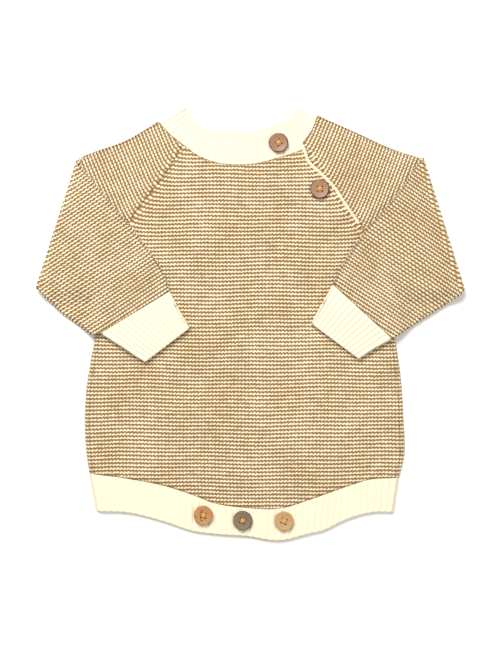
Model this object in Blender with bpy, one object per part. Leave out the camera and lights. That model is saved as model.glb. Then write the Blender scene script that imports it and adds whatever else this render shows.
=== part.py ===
"""A baby's knitted romper laid flat on its back, with each sleeve folded in over the front.

Metres, +Z up. The origin is on the surface that it lies on, under the middle of its outline.
+Y runs to the neck, +X to the wearer's left. Sizes and tables below are in millimetres.

Heights: the back lies on the surface, the front on the back, and the folded half of each
sleeve on the front. Where the front overlaps at the placket it is one layer higher.
"""

import math

import bmesh
import bpy
import numpy as np

MM = 0.001

# Cloth
WALL = 2.4  # thickness of the knitted wall
GAP = 0.3  # between neighbouring pieces and between layers
LAYER = WALL + GAP  # from one layer to the next
FRONT_TOP = WALL + LAYER  # height of the front's upper face
SLEEVE_BASE = FRONT_TOP + GAP  # height that the folded sleeves lie at

# Where a flat tube turns over at its edge
TURN_OUTER = FRONT_TOP / 2
TURN_INNER = GAP / 2
TURN_CELLS = 5
CURVE_SAMPLES = 400  # along a curve that is read at given places

# Where a sleeve is folded over the front
FOLD_HEIGHT = FRONT_TOP + GAP / 2  # height of the line that it folds about
FOLD_RADIUS = FOLD_HEIGHT / 2  # of the layer that keeps its length
FOLD_LENGTH = math.pi * FOLD_RADIUS
FOLD_CELLS = 5

# Cells along the seams, which the pieces on both sides share
FRONT_NECK_CELLS = 18
SHOULDER_NECK_CELLS = 3
RAGLAN_CELLS = 9
BODY_ROWS = 20

# The side of the front turns down to the surface, outside the edge of the back
SIDE_OUTER = FRONT_TOP
SIDE_INNER = FRONT_TOP - WALL
SIDE_CELLS = 4
SIDE_FADE = 15.0  # below the armpit the turn comes in over this length
BACK_INSET = 5.2  # the edge of the back is this far inside

# Placket: the front lies over a strip sewn to the sleeve
PLACKET_LENGTH = 100.0  # the front is raised this far along its edge, from the neck
OVERLAP_REACH = 34.0  # the front is one layer up this far from its edge
OVERLAP_RAMP = 14.0

# Fullness of the front above the hem band
BELLY_HEIGHT = 2.6
BELLY_MIDDLE_Y = -112.0
BELLY_HALF_LENGTH = 58.0
BELLY_HALF_WIDTH = 138.0

# Where a folded sleeve reaches past what is under it, it sinks to the surface
SAG_WIDTH = 18.0
SAG_START = 15.0  # past the fold it comes in over this length
SAG_CLEARANCE = 2.0  # below the armpit

# Buttons
BUTTON_DIAMETER = 17.8
BUTTON_THICKNESS = 3.2
BUTTON_SIDES = 28
BUTTON_PROFILE = (
    # place, in from the rim, height
    ("foot", 1.0, 0.0),
    ("lower rim", 0.0, 0.9),
    ("upper rim", 0.0, BUTTON_THICKNESS - 0.8),
    ("lip", 0.8, BUTTON_THICKNESS),
    ("inside of the lip", 1.9, BUTTON_THICKNESS - 0.1),
    ("dish", 3.2, BUTTON_THICKNESS - 0.5),
)
HOLE_DIAMETER = 2.1
HOLE_SIDES = 10
HOLE_CIRCLE = 5.6  # diameter of the circle that the four holes sit on
PIN_LENGTH = 3.0 * BUTTON_THICKNESS

# Neckband: free edge and sewn edge
NECK_FRONT = (
    # place, free x, free y, sewn x, sewn y
    ("placket", 35.2, 189.3, 50.8, 160.9),
    ("button", 27.0, 184.8, 37.0, 155.8),
    ("button side", 18.8, 179.0, 24.0, 152.0),
    ("left of middle", 10.0, 174.8, 12.0, 148.6),
    ("middle", -4.0, 173.4, -3.0, 146.8),
    ("right of middle", -18.0, 174.0, -19.0, 146.7),
    ("curve", -30.0, 176.6, -34.0, 149.2),
    ("upper curve", -40.0, 180.6, -48.0, 155.0),
    ("raglan", -48.5, 184.6, -62.0, 165.0),
)
NECK_RIGHT_SHOULDER = (
    ("raglan", -48.5, 184.6, -62.0, 165.0),
    ("middle", -54.5, 191.6, -73.0, 173.8),
    ("shoulder", -60.6, 199.7, -85.6, 187.2),
)
NECK_BACK = (
    ("right raglan", -48.5, 184.6, -62.0, 165.0),
    ("right curve", -40.0, 181.2, -48.0, 158.0),
    ("right of middle", -30.0, 178.6, -34.0, 153.0),
    ("middle", -14.0, 177.6, -14.0, 151.4),
    ("left of middle", 2.0, 178.4, 4.0, 151.8),
    ("left curve", 14.0, 180.8, 20.0, 154.4),
    ("upper curve", 25.0, 184.4, 35.0, 159.0),
    ("left raglan", 34.6, 188.8, 48.2, 166.1),
)
NECK_LEFT_SHOULDER = (
    ("raglan", 34.6, 188.8, 48.2, 166.1),
    ("middle", 38.6, 194.0, 56.8, 177.6),
    ("shoulder", 42.4, 199.9, 63.0, 193.0),
)
NECK_UNDERLAP = (
    ("raglan", 34.6, 188.8, 48.2, 166.1),
    ("edge", 26.5, 182.6, 36.5, 159.5),
    ("button", 17.5, 176.2, 25.0, 155.5),
    ("end", 9.0, 172.4, 14.0, 152.0),
)

# Raglan lines, from the neck to the armpit
RIGHT_RAGLAN = (
    # x, y
    (-62.0, 165.0),
    (-74.0, 144.0),
    (-90.0, 122.5),
    (-108.6, 98.0),
    (-122.0, 69.0),
    (-130.6, 36.0),
)
PLACKET_TOP = (
    # beside the neckband, from its free edge to the raglan line
    (35.2, 189.3),
    (41.0, 182.2),
    (46.3, 172.5),
    (48.2, 166.1),
)
LEFT_RAGLAN = (
    (50.8, 160.9),
    (54.6, 150.5),
    (66.9, 138.3),
    (79.9, 124.1),
    (87.4, 112.4),
    (101.2, 92.9),
    (118.0, 64.0),
    (128.8, 36.0),
)
PLACKET_UNDERLAP = (
    # place, seam x, seam y, inner x, inner y
    ("neckband", 48.0, 165.2, 29.0, 155.8),
    ("top", 54.2, 150.4, 37.0, 137.0),
    ("button", 66.6, 138.0, 52.0, 123.4),
    ("below", 79.5, 123.9, 63.5, 111.5),
    ("end", 87.0, 112.2, 70.5, 100.5),
)

# Side seams, from the hem to the armpit
RIGHT_SIDE = (
    (-148.7, -137.7),
    (-152.2, -112.0),
    (-152.6, -72.0),
    (-149.0, -42.0),
    (-143.5, -13.0),
    (-130.6, 36.0),
)
LEFT_SIDE = (
    (137.8, -141.6),
    (142.2, -124.0),
    (142.0, -88.0),
    (138.6, -42.0),
    (134.8, -16.0),
    (128.8, 36.0),
)

# Hem band: seam and free edge, from the wearer's right to left
HEM = (
    # place, seam x, seam y, free x, free y
    ("right side", -148.7, -137.7, -142.5, -172.6),
    ("right leg", -112.0, -142.4, -112.0, -173.8),
    ("right leg curve", -78.0, -148.8, -79.0, -182.0),
    ("right of crotch", -51.0, -157.8, -52.0, -190.8),
    ("right button", -34.0, -164.6, -32.5, -193.4),
    ("middle button", -5.0, -169.0, -3.0, -195.4),
    ("left button", 27.6, -169.8, 27.0, -199.4),
    ("left of crotch", 55.0, -161.6, 53.5, -193.4),
    ("left leg curve", 72.0, -155.4, 68.0, -189.8),
    ("left leg", 88.0, -149.6, 87.0, -180.6),
    ("left hip", 111.0, -143.0, 111.0, -173.6),
    ("left side", 137.8, -141.6, 133.4, -173.2),
)
BACK_HEM_DROP = 1.4  # the back band shows this much below the front one
BACK_HEM_HALF_WIDTH = 110.0  # and less and less, as far out as this

# Sleeves: sections from the shoulder edge to the underarm edge, as they lie.
# The first ones reach out to the fold, and the others lie past it, over the front.
SLEEVES = {
    "sleeve_right": {
        "fold": ((-159.5, 153.5), (-197.8, 33.5)),
        "out": (
            # place, shoulder x, shoulder y, underarm x, underarm y
            ("upper arm", -112.6, 171.0, -152.0, 35.4),
            ("before the fold", -141.0, 160.2, -179.0, 34.6),
            ("fold", -154.4, 155.2, -191.8, 33.9),
        ),
        "over": (
            ("fold", -156.9, 148.0, -193.7, 29.1),
            ("elbow", -134.0, 119.6, -176.0, 11.4),
            ("forearm", -106.7, 86.5, -160.0, -0.5),
            ("lower forearm", -94.8, 70.8, -151.5, -6.8),
            ("wrist", -78.9, 46.9, -145.4, -10.6),
            ("cuff seam", -73.6, 30.4, -138.4, -9.2),
        ),
        "cuff": (
            ("cuff seam", -73.6, 30.4, -138.4, -9.2),
            ("middle", -64.5, 13.0, -117.2, -22.8),
            ("opening", -54.7, -3.3, -96.6, -35.2),
        ),
    },
    "sleeve_left": {
        "fold": ((160.1, 153.6), (197.7, 33.6)),
        "out": (
            ("upper arm", 97.3, 177.6, 150.0, 35.4),
            ("before the fold", 133.3, 161.4, 176.0, 34.6),
            ("fold", 155.0, 154.4, 191.9, 33.9),
        ),
        "over": (
            ("fold", 154.8, 150.1, 194.6, 26.2),
            ("elbow", 135.2, 120.5, 180.0, 16.6),
            ("forearm", 103.5, 83.4, 160.0, 3.9),
            ("lower forearm", 89.2, 62.8, 146.0, -5.1),
            ("wrist", 80.8, 47.6, 138.0, -10.2),
            ("cuff seam", 75.9, 36.8, 131.6, -14.3),
        ),
        "cuff": (
            ("cuff seam", 75.9, 36.8, 131.6, -14.3),
            ("middle", 65.4, 18.2, 116.0, -22.8),
            ("opening", 55.9, 0.6, 99.9, -32.2),
        ),
    },
}
OUT_CELLS = 6
OVER_CELLS = 10
CUFF_CELLS = 3
CUFF_POINTS_ACROSS = 8
NECK_UNDERLAP_CELLS = 4
PLACKET_UNDERLAP_CELLS = 6

# Buttons: the height is that of the cloth under them, in layers
BUTTONS = (
    # name, x, y, turn in degrees, layers under it
    ("button_neck", 26.2, 166.4, 36.0, 3),
    ("button_placket", 64.1, 124.0, 0.0, 3),
    ("button_crotch_right", -42.9, -175.9, -8.0, 2),
    ("button_crotch_middle", -6.7, -180.7, -20.0, 2),
    ("button_crotch_left", 31.3, -181.2, -20.0, 2),
)

KNIT_ROUGHNESS = 0.95
BUTTON_ROUGHNESS = 0.5
SMOOTH_UNDER = math.radians(40.0)  # edges that bend less than this are shaded smooth
KNIT_COLOUR = (0.80, 0.70, 0.52)
KNIT_SHADED = (0.74, 0.64, 0.46)
RIB_COLOUR = (0.82, 0.73, 0.56)
BUTTON_COLOURS = {
    "button_neck": (0.26, 0.13, 0.06),
    "button_placket": (0.28, 0.14, 0.07),
    "button_crotch_right": (0.38, 0.18, 0.06),
    "button_crotch_middle": (0.20, 0.13, 0.08),
    "button_crotch_left": (0.42, 0.25, 0.11),
}


def numbers(table):
    """The columns of a table without its names."""
    return np.array([row[1:] for row in table])


def unit(vector):
    return vector / np.linalg.norm(vector)


def ramp(share):
    """0 to 1 with level ends."""
    share = np.clip(share, 0.0, 1.0)
    return share * share * (3.0 - 2.0 * share)


def smooth(rows, count):
    """count + 1 rows spaced evenly along one smooth curve through the given rows."""
    rows = np.asarray(rows, float)
    steps = np.linalg.norm(np.diff(rows, axis=0), axis=1)
    marks = np.concatenate([[0.0], np.cumsum(steps)])
    slopes = np.gradient(rows, marks, axis=0)
    at = np.linspace(0.0, marks[-1], count + 1)
    cell = np.clip(np.searchsorted(marks, at, side="right") - 1, 0, len(steps) - 1)
    width = steps[cell][:, None]
    t = (at - marks[cell])[:, None] / width
    start = (1.0 + 2.0 * t) * (1.0 - t) ** 2 * rows[cell]
    start_slope = t * (1.0 - t) ** 2 * width * slopes[cell]
    end = t * t * (3.0 - 2.0 * t) * rows[cell + 1]
    end_slope = t * t * (t - 1.0) * width * slopes[cell + 1]
    return start + start_slope + end + end_slope


def at_x(rows, wanted):
    """The rows of a smooth curve at the wanted values of its first column."""
    dense = smooth(rows, CURVE_SAMPLES)
    return np.stack([np.interp(wanted, dense[:, 0], column) for column in dense.T], axis=1)


def beside(path, distance):
    """The path moved sideways, to its left where the distance is positive."""
    along = np.gradient(path, axis=0)
    along = along / np.linalg.norm(along, axis=1)[:, None]
    return path + distance * np.stack([-along[:, 1], along[:, 0]], axis=1)


def lifted(plan, height):
    """Plan points given a height, which is one number or one for each point."""
    return np.concatenate([plan, np.broadcast_to(height, plan.shape[:-1])[..., None]], axis=-1)


# Seams that two pieces share
NECK_SEAM_FRONT = smooth(numbers(NECK_FRONT), FRONT_NECK_CELLS)
NECK_SEAM_BACK = smooth(numbers(NECK_BACK), FRONT_NECK_CELLS)
SHOULDER_SEAMS = {
    "sleeve_right": smooth(numbers(NECK_RIGHT_SHOULDER), SHOULDER_NECK_CELLS),
    "sleeve_left": smooth(numbers(NECK_LEFT_SHOULDER), SHOULDER_NECK_CELLS),
}
RAGLANS = {
    "sleeve_right": smooth(RIGHT_RAGLAN, RAGLAN_CELLS),
    "sleeve_left": smooth(LEFT_RAGLAN, RAGLAN_CELLS),
}
PLACKET_EDGE = np.concatenate([np.array(PLACKET_TOP), RAGLANS["sleeve_left"]])


def overlap_lift(plan):
    """How far the front is raised over the underlap, from the place along and off its edge."""
    flat = plan.reshape(-1, 2)
    starts = PLACKET_EDGE[:-1]
    spans = np.diff(PLACKET_EDGE, axis=0)
    lengths = np.linalg.norm(spans, axis=1)
    marks = np.concatenate([[0.0], np.cumsum(lengths)[:-1]])
    offsets = flat[:, None, :] - starts[None]
    share = np.clip((offsets * spans).sum(axis=2) / lengths**2, 0.0, 1.0)
    apart = np.linalg.norm(offsets - share[..., None] * spans, axis=2)
    nearest = apart.argmin(axis=1)
    pick = np.arange(len(flat))
    along = marks[nearest] + share[pick, nearest] * lengths[nearest]
    off = apart[pick, nearest]
    across_part = ramp((OVERLAP_REACH + OVERLAP_RAMP - off) / OVERLAP_RAMP)
    along_part = ramp((PLACKET_LENGTH + OVERLAP_RAMP + GAP - along) / OVERLAP_RAMP)
    return (LAYER * across_part * along_part).reshape(plan.shape[:-1])


def belly_lift(plan):
    """The soft fullness of the front above the hem band."""
    along = np.clip(1.0 - ((plan[..., 1] - BELLY_MIDDLE_Y) / BELLY_HALF_LENGTH) ** 2, 0.0, 1.0)
    across = np.clip(1.0 - (plan[..., 0] / BELLY_HALF_WIDTH) ** 2, 0.0, 1.0)
    return BELLY_HEIGHT * ramp(along) * ramp(across)


def front_lift(plan):
    return overlap_lift(plan) + belly_lift(plan)


def new_material(name, colour, roughness):
    material = bpy.data.materials.new(name)
    material.use_nodes = True
    shader = material.node_tree.nodes["Principled BSDF"]
    shader.inputs["Base Color"].default_value = (*colour, 1.0)
    shader.inputs["Roughness"].default_value = roughness
    shader.inputs["Metallic"].default_value = 0.0
    return material


def new_object(name, points, faces, colour, roughness, root):
    """An object with outward faces, from points in millimetres."""
    mesh = bpy.data.meshes.new(name)
    mesh.from_pydata([tuple(point) for point in points * MM], [], faces)
    shape = bmesh.new()
    shape.from_mesh(mesh)
    bmesh.ops.recalc_face_normals(shape, faces=shape.faces)
    shape.to_mesh(mesh)
    shape.free()
    mesh.shade_smooth()
    mesh.set_sharp_from_angle(angle=SMOOTH_UNDER)
    mesh.materials.append(new_material(name + "_finish", colour, roughness))
    made = bpy.data.objects.new(name, mesh)
    made.parent = root
    bpy.context.scene.collection.objects.link(made)
    return made


def wall(name, outer, inner, around, colour, root):
    """A closed cloth wall between an outer and an inner grid of points.

    The grids hold rows of points. With around set each row is a ring, as in a tube.
    """
    rows, across = outer.shape[:2]
    points = np.concatenate([outer.reshape(-1, 3), inner.reshape(-1, 3)])
    outside = np.arange(rows * across).reshape(rows, across)
    if around:
        outside = np.concatenate([outside, outside[:, :1]], axis=1)
    inside = outside + rows * across
    faces = []
    for skin in (outside, inside):
        for low, high in zip(skin[:-1], skin[1:]):
            faces += list(zip(low[:-1], low[1:], high[1:], high[:-1]))
    rims = [(outside[0], inside[0]), (outside[-1], inside[-1])]
    if not around:
        rims += [(outside[:, 0], inside[:, 0]), (outside[:, -1], inside[:, -1])]
    for out_edge, in_edge in rims:
        faces += list(zip(out_edge[:-1], out_edge[1:], in_edge[1:], in_edge[:-1]))
    faces = [tuple(int(corner) for corner in face) for face in faces]
    return new_object(name, points, faces, colour, KNIT_ROUGHNESS, root)


def patch(bottom, top, left, right):
    """A plan grid between four edges, whose columns stand nearly upright."""
    across = ((top[:, 0] - top[0, 0]) / (top[-1, 0] - top[0, 0]))[None, :, None]
    up = np.linspace(0.0, 1.0, len(left))[:, None, None]
    between = (1.0 - up) * bottom[None] + up * top[None]
    sides = (1.0 - across) * left[:, None] + across * right[:, None]
    low = (1.0 - across) * bottom[0] + across * bottom[-1]
    high = (1.0 - across) * top[0] + across * top[-1]
    return between + sides - (1.0 - up) * low - up * high


class BodySide:
    """One side seam of the body: its outline, the way inwards and how far it turns down."""

    def __init__(self, outline, raglan, inwards):
        self.outline = smooth(outline, BODY_ROWS)
        below = self.outline[-1, 1] - self.outline[:, 1]
        self.turned = ramp(below / SIDE_FADE)
        level = np.array([inwards, 0.0])
        up_raglan = unit(raglan[-2] - raglan[-1])
        directions = self.turned[:, None] * level + (1.0 - self.turned)[:, None] * up_raglan
        self.inwards = directions / np.linalg.norm(directions, axis=1)[:, None]

    def inset(self, distance):
        """The outline moved inwards by a distance, one number or one for each row."""
        return self.outline + np.reshape(distance, (-1, 1)) * self.inwards

    def turn(self, radius):
        """Columns of points from the rim on the surface up to the top of the turn."""
        columns = []
        for cell in range(SIDE_CELLS):
            angle = math.pi / 2.0 * cell / SIDE_CELLS
            flat_in = SIDE_OUTER * cell / SIDE_CELLS
            round_in = SIDE_OUTER - radius * math.cos(angle)
            reach = self.turned * round_in + (1.0 - self.turned) * flat_in
            height = self.turned * radius * math.sin(angle) + (1.0 - self.turned) * radius
            columns.append(lifted(self.inset(reach), height))
        return columns


def front_top_edge():
    """The front panel's upper outline: right raglan, neck and left raglan."""
    neck = NECK_SEAM_FRONT[::-1, 2:]
    return np.concatenate([RAGLANS["sleeve_right"][::-1], neck[1:-1], RAGLANS["sleeve_left"]])


def back_top_edge():
    neck = NECK_SEAM_BACK[:, 2:]
    return np.concatenate([RAGLANS["sleeve_right"][::-1], neck[1:], RAGLANS["sleeve_left"]])


def body_grid(top, sides, inset):
    """A panel's plan grid, and its points on the hem seam with the free edge beside them."""
    right, left = (side.inset(inset) for side in sides)
    top = top.copy()
    top[0] = right[-1]
    top[-1] = left[-1]
    share = (top[:, 0] - top[0, 0]) / (top[-1, 0] - top[0, 0])
    hem_x = right[0, 0] + share * (left[0, 0] - right[0, 0])
    hem = at_x(numbers(HEM), hem_x)
    right[0] = hem[0, :2]
    left[0] = hem[-1, :2]
    return patch(hem[:, :2], top, right, left), hem


def make_front(root):
    """The front panel and the front of the hem band."""
    sides = (
        BodySide(RIGHT_SIDE, RAGLANS["sleeve_right"], 1.0),
        BodySide(LEFT_SIDE, RAGLANS["sleeve_left"], -1.0),
    )
    plan, hem = body_grid(front_top_edge(), sides, SIDE_OUTER)
    lift = front_lift(plan)
    skins = []
    for radius in (SIDE_OUTER, SIDE_INNER):
        middle = lifted(plan, radius + lift)
        columns = sides[0].turn(radius)
        columns += [middle[:, column] for column in range(middle.shape[1])]
        columns += sides[1].turn(radius)[::-1]
        skins.append(np.stack(columns, axis=1))
    wall("front_panel", *skins, False, KNIT_COLOUR, root)
    make_hem_front(hem, root)


def across_band(seam, free, cells):
    """Rows of points from the seam of a band to its free edge, just clear of the seam."""
    start = seam + GAP * (free - seam) / np.linalg.norm(free - seam, axis=1)[:, None]
    shares = np.linspace(0.0, 1.0, cells + 1)[None, :, None]
    return (1.0 - shares) * start[:, None] + shares * free[:, None]


def make_hem_front(hem, root):
    ends = numbers(HEM)[[0, -1]]
    skins = []
    for radius in (SIDE_OUTER, SIDE_INNER):
        rows, heights = list(hem), [radius] * len(hem)
        for cell in reversed(range(SIDE_CELLS)):
            angle = math.pi / 2.0 * cell / SIDE_CELLS
            reach = SIDE_OUTER - radius * math.cos(angle)
            step = np.array([reach, 0.0, reach, 0.0])
            rows = [ends[0] + step, *rows, ends[1] - step]
            height = radius * math.sin(angle)
            heights = [height, *heights, height]
        rows = np.array(rows)
        plan = across_band(rows[:, :2], rows[:, 2:], 2)
        skins.append(lifted(plan, np.array(heights)[:, None]))
    wall("hem_band_front", *skins, False, RIB_COLOUR, root)


def make_back(root):
    """The back panel and the back of the hem band, flat on the surface."""
    sides = (
        BodySide(RIGHT_SIDE, RAGLANS["sleeve_right"], 1.0),
        BodySide(LEFT_SIDE, RAGLANS["sleeve_left"], -1.0),
    )
    plan, hem = body_grid(back_top_edge(), sides, BACK_INSET)
    wall("back_panel", lifted(plan, 0.0), lifted(plan, WALL), False, KNIT_COLOUR, root)
    hem[:, 3] -= BACK_HEM_DROP * ramp(1.0 - np.abs(hem[:, 0]) / BACK_HEM_HALF_WIDTH)
    plan = across_band(hem[:, :2], hem[:, 2:], 1)
    wall("hem_band_back", lifted(plan, 0.0), lifted(plan, WALL), False, RIB_COLOUR, root)


def half_turn(edge, inwards, radius):
    """Points round the edge of a flat tube, from the lower layer to the upper one."""
    angles = np.linspace(-math.pi / 2.0, math.pi / 2.0, TURN_CELLS + 1)
    centre = edge + TURN_OUTER * inwards
    plan = centre - radius * np.cos(angles)[:, None] * inwards
    return lifted(plan, TURN_OUTER + radius * np.sin(angles))


def tube_ring(path, radius):
    """A ring round a flat tube, whose upper and lower layers follow the path between its edges."""
    first = half_turn(path[0], unit(path[1] - path[0]), radius)
    last = half_turn(path[-1], unit(path[-2] - path[-1]), radius)
    middle = path[1:-1]
    upper = lifted(middle, TURN_OUTER + radius)
    lower = lifted(middle, TURN_OUTER - radius)
    return np.concatenate([first, upper, last[::-1], lower[::-1]])


class SleeveFold:
    """The line that a sleeve is folded about, and the way over it."""

    def __init__(self, corner, elbow):
        along = unit(np.subtract(elbow, corner))
        self.outwards = np.array([along[1], -along[0]])
        if self.outwards[0] * corner[0] < 0.0:
            self.outwards = -self.outwards
        self.start = np.array(corner) - FOLD_HEIGHT * self.outwards

    def past(self, plan):
        """How far past the fold line points are."""
        return (plan - self.start) @ self.outwards

    def onto_line(self, plan):
        return plan - self.past(plan)[..., None] * self.outwards

    def opened(self, plan):
        """Where points that lie folded over would be if the sleeve were opened out."""
        return plan + (FOLD_LENGTH - 2.0 * self.past(plan))[..., None] * self.outwards

    def folded(self, points):
        """Points of the opened sleeve, with their heights, folded over."""
        plan, height = points[..., :2], points[..., 2]
        past = self.past(plan)
        reach = FOLD_HEIGHT - height
        angle = np.clip(past / FOLD_RADIUS, 0.0, math.pi)
        beyond = np.maximum(past - FOLD_LENGTH, 0.0)
        turned = reach * np.sin(angle) - beyond - np.maximum(past, 0.0)
        new_plan = plan + turned[..., None] * self.outwards
        new_height = np.where(past > 0.0, FOLD_HEIGHT - reach * np.cos(angle), height)
        return lifted(new_plan, new_height)


def sleeve_start(name):
    """The sleeve's edge along the neckband and the raglan line, from shoulder to armpit."""
    neck = SHOULDER_SEAMS[name][::-1, 2:]
    if name == "sleeve_right":
        return np.concatenate([neck[:-1], beside(RAGLANS[name], -GAP)])
    return np.concatenate([neck[:-1], beside(np.concatenate([neck[-1:], RAGLANS[name]]), GAP)])


def sag(name, plan):
    """How far the folded sleeve sinks where it reaches past the body and its own first half."""
    side_line = np.array(RIGHT_SIDE if name == "sleeve_right" else LEFT_SIDE)
    side = np.interp(plan[..., 1], side_line[:, 1], side_line[:, 0])
    past_side = np.abs(plan[..., 0]) - np.abs(side)
    under_arm = side_line[-1, 1] - SAG_CLEARANCE - plan[..., 1]
    return SLEEVE_BASE * ramp(np.minimum(past_side, under_arm) / SAG_WIDTH)


def make_sleeve(name, sizes, root):
    """A sleeve and its cuff: a flat tube, folded over the front along a slanting line."""
    fold = SleeveFold(*sizes["fold"])
    start = sleeve_start(name)
    steps = np.linalg.norm(np.diff(start, axis=0), axis=1)
    shares = (np.concatenate([[0.0], np.cumsum(steps)]) / steps.sum())[:, None]
    straight = (1.0 - shares) * start[0] + shares * start[-1]
    bulge = start - straight

    ends = np.concatenate([start[0], start[-1]])
    out = smooth(np.concatenate([[ends], numbers(sizes["out"])]), OUT_CELLS)
    over = smooth(numbers(sizes["over"]), OVER_CELLS)
    near = fold.onto_line(out[-1].reshape(2, 2))
    far = fold.opened(fold.onto_line(over[0].reshape(2, 2)))
    bend = [near + (far - near) * cell / FOLD_CELLS for cell in range(FOLD_CELLS + 1)]

    paths = []
    for number, row in enumerate(out[:-1]):
        fade = 1.0 - number / OUT_CELLS
        paths.append((1.0 - shares) * row[:2] + shares * row[2:] + fade * bulge)
    for shoulder, underarm in bend:
        paths.append((1.0 - shares) * shoulder + shares * underarm)
    for row in over[1:]:
        shoulder, underarm = fold.opened(row.reshape(2, 2))
        paths.append((1.0 - shares) * shoulder + shares * underarm)

    skins = []
    for radius in (TURN_OUTER, TURN_INNER):
        flat = np.array([tube_ring(path, radius) for path in paths])
        shape = fold.folded(flat)
        onset = ramp((fold.past(flat[..., :2]) - FOLD_LENGTH) / SAG_START)
        shape[..., 2] -= onset * sag(name, shape[..., :2])
        skins.append(shape)
    wall(name, *skins, True, KNIT_SHADED, root)
    make_cuff(name.replace("sleeve", "cuff"), name, numbers(sizes["cuff"]), root)


def make_cuff(name, sleeve, sections, root):
    rows = smooth(sections, CUFF_CELLS)
    down = unit((rows[1] - rows[0]).reshape(2, 2).mean(axis=0))
    rows[0] += GAP * np.tile(down, 2)
    shares = np.linspace(0.0, 1.0, CUFF_POINTS_ACROSS)[:, None]
    skins = []
    for radius in (TURN_OUTER, TURN_INNER):
        paths = [(1.0 - shares) * row[:2] + shares * row[2:] for row in rows]
        shape = np.array([tube_ring(path, radius) for path in paths])
        shape[..., 2] += SLEEVE_BASE - sag(sleeve, shape[..., :2])
        skins.append(shape)
    wall(name, *skins, True, RIB_COLOUR, root)


def make_neckband(root):
    """One ribbed strip: from the placket round the front, the right shoulder, the back and
    the left shoulder, and on under the front as far as its button."""
    right = SHOULDER_SEAMS["sleeve_right"]
    left = SHOULDER_SEAMS["sleeve_left"]
    underlap = smooth(numbers(NECK_UNDERLAP), NECK_UNDERLAP_CELLS)
    skins = []
    for radius in (TURN_OUTER, TURN_INNER):
        stations = []
        front = across_band(NECK_SEAM_FRONT[:, 2:], NECK_SEAM_FRONT[:, :2], 2)
        stations += list(lifted(front, TURN_OUTER + radius + overlap_lift(front)))
        stations += shoulder_stations(right, radius, True)
        back = across_band(NECK_SEAM_BACK[:, 2:], NECK_SEAM_BACK[:, :2], 2)
        stations += list(lifted(back[1:-1], TURN_OUTER - radius))
        stations += shoulder_stations(left, radius, False)
        under = across_band(underlap[1:, 2:], underlap[1:, :2], 2)
        stations += list(lifted(under, TURN_OUTER + radius))
        skins.append(np.array(stations))
    wall("neckband", *skins, False, RIB_COLOUR, root)


def shoulder_stations(seam, radius, downwards):
    """The neckband from the raglan to the shoulder on one layer, round, and back on the other."""
    plan = across_band(seam[:, 2:], seam[:, :2], 2)
    turns = [half_turn(edge, unit(before - edge), radius) for before, edge in zip(*plan[-2:])]
    edge = np.stack(turns, axis=1)
    upper = lifted(plan[:-1], TURN_OUTER + radius)
    lower = lifted(plan[:-1], TURN_OUTER - radius)
    if downwards:
        return [*upper[1:], *edge[::-1], *lower[::-1]]
    return [*lower, *edge, *upper[::-1]]


def make_placket_underlap(root):
    """The strip under the front's edge, sewn to the left sleeve, which its buttons hold."""
    rows = smooth(numbers(PLACKET_UNDERLAP), PLACKET_UNDERLAP_CELLS)
    plan = across_band(rows[:, :2], rows[:, 2:], 1)
    lower, upper = lifted(plan, LAYER), lifted(plan, FRONT_TOP)
    wall("placket_underlap", upper, lower, False, RIB_COLOUR, root)


def make_button(name, x, y, turn, layers, root):
    """A turned wooden button with four holes, lying on the cloth."""
    angles = np.arange(BUTTON_SIDES) * 2.0 * math.pi / BUTTON_SIDES
    rings = [(BUTTON_DIAMETER / 2.0 - inwards, height) for _, inwards, height in BUTTON_PROFILE]
    points = [
        (radius * math.cos(angle), radius * math.sin(angle), height)
        for radius, height in rings
        for angle in angles
    ]
    faces = []
    for ring in range(len(rings) - 1):
        for side in range(BUTTON_SIDES):
            after = (side + 1) % BUTTON_SIDES
            low, high = ring * BUTTON_SIDES, (ring + 1) * BUTTON_SIDES
            faces.append((low + side, low + after, high + after, high + side))
    faces.append(tuple(range(BUTTON_SIDES)))
    faces.append(tuple(range(len(points) - BUTTON_SIDES, len(points))))
    button = new_object(name, np.array(points), faces, BUTTON_COLOURS[name], BUTTON_ROUGHNESS, root)
    button.location = (x * MM, y * MM, layers * LAYER * MM)
    button.rotation_euler = (0.0, 0.0, math.radians(turn))
    cut = button.modifiers.new("holes", "BOOLEAN")
    cut.operation = "DIFFERENCE"
    cut.object = make_hole_cutter(name, button)


def make_hole_cutter(name, button):
    """Four pins in a square, which cut a button's holes."""
    shape = bmesh.new()
    for quarter in range(4):
        angle = math.radians(45.0 + 90.0 * quarter)
        pins = bmesh.ops.create_cone(
            shape,
            cap_ends=True,
            segments=HOLE_SIDES,
            radius1=HOLE_DIAMETER / 2.0 * MM,
            radius2=HOLE_DIAMETER / 2.0 * MM,
            depth=PIN_LENGTH * MM,
        )
        reach = HOLE_CIRCLE / 2.0 * MM
        place = (reach * math.cos(angle), reach * math.sin(angle), 0.0)
        bmesh.ops.translate(shape, verts=pins["verts"], vec=place)
    mesh = bpy.data.meshes.new(name + "_pins")
    shape.to_mesh(mesh)
    shape.free()
    cutter = bpy.data.objects.new(name + "_pins", mesh)
    cutter.parent = button
    cutter.hide_render = True
    cutter.display_type = "WIRE"
    bpy.context.scene.collection.objects.link(cutter)
    return cutter


def centre_outline(root):
    """Moves everything so that the origin is under the middle of the outline."""
    bpy.context.view_layer.update()
    corners = [
        vertex.co
        for child in root.children
        if child.name.split("_")[0] != "button"
        for vertex in child.data.vertices
    ]
    for axis in range(2):
        values = [corner[axis] for corner in corners]
        root.location[axis] = -(min(values) + max(values)) / 2.0


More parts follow.
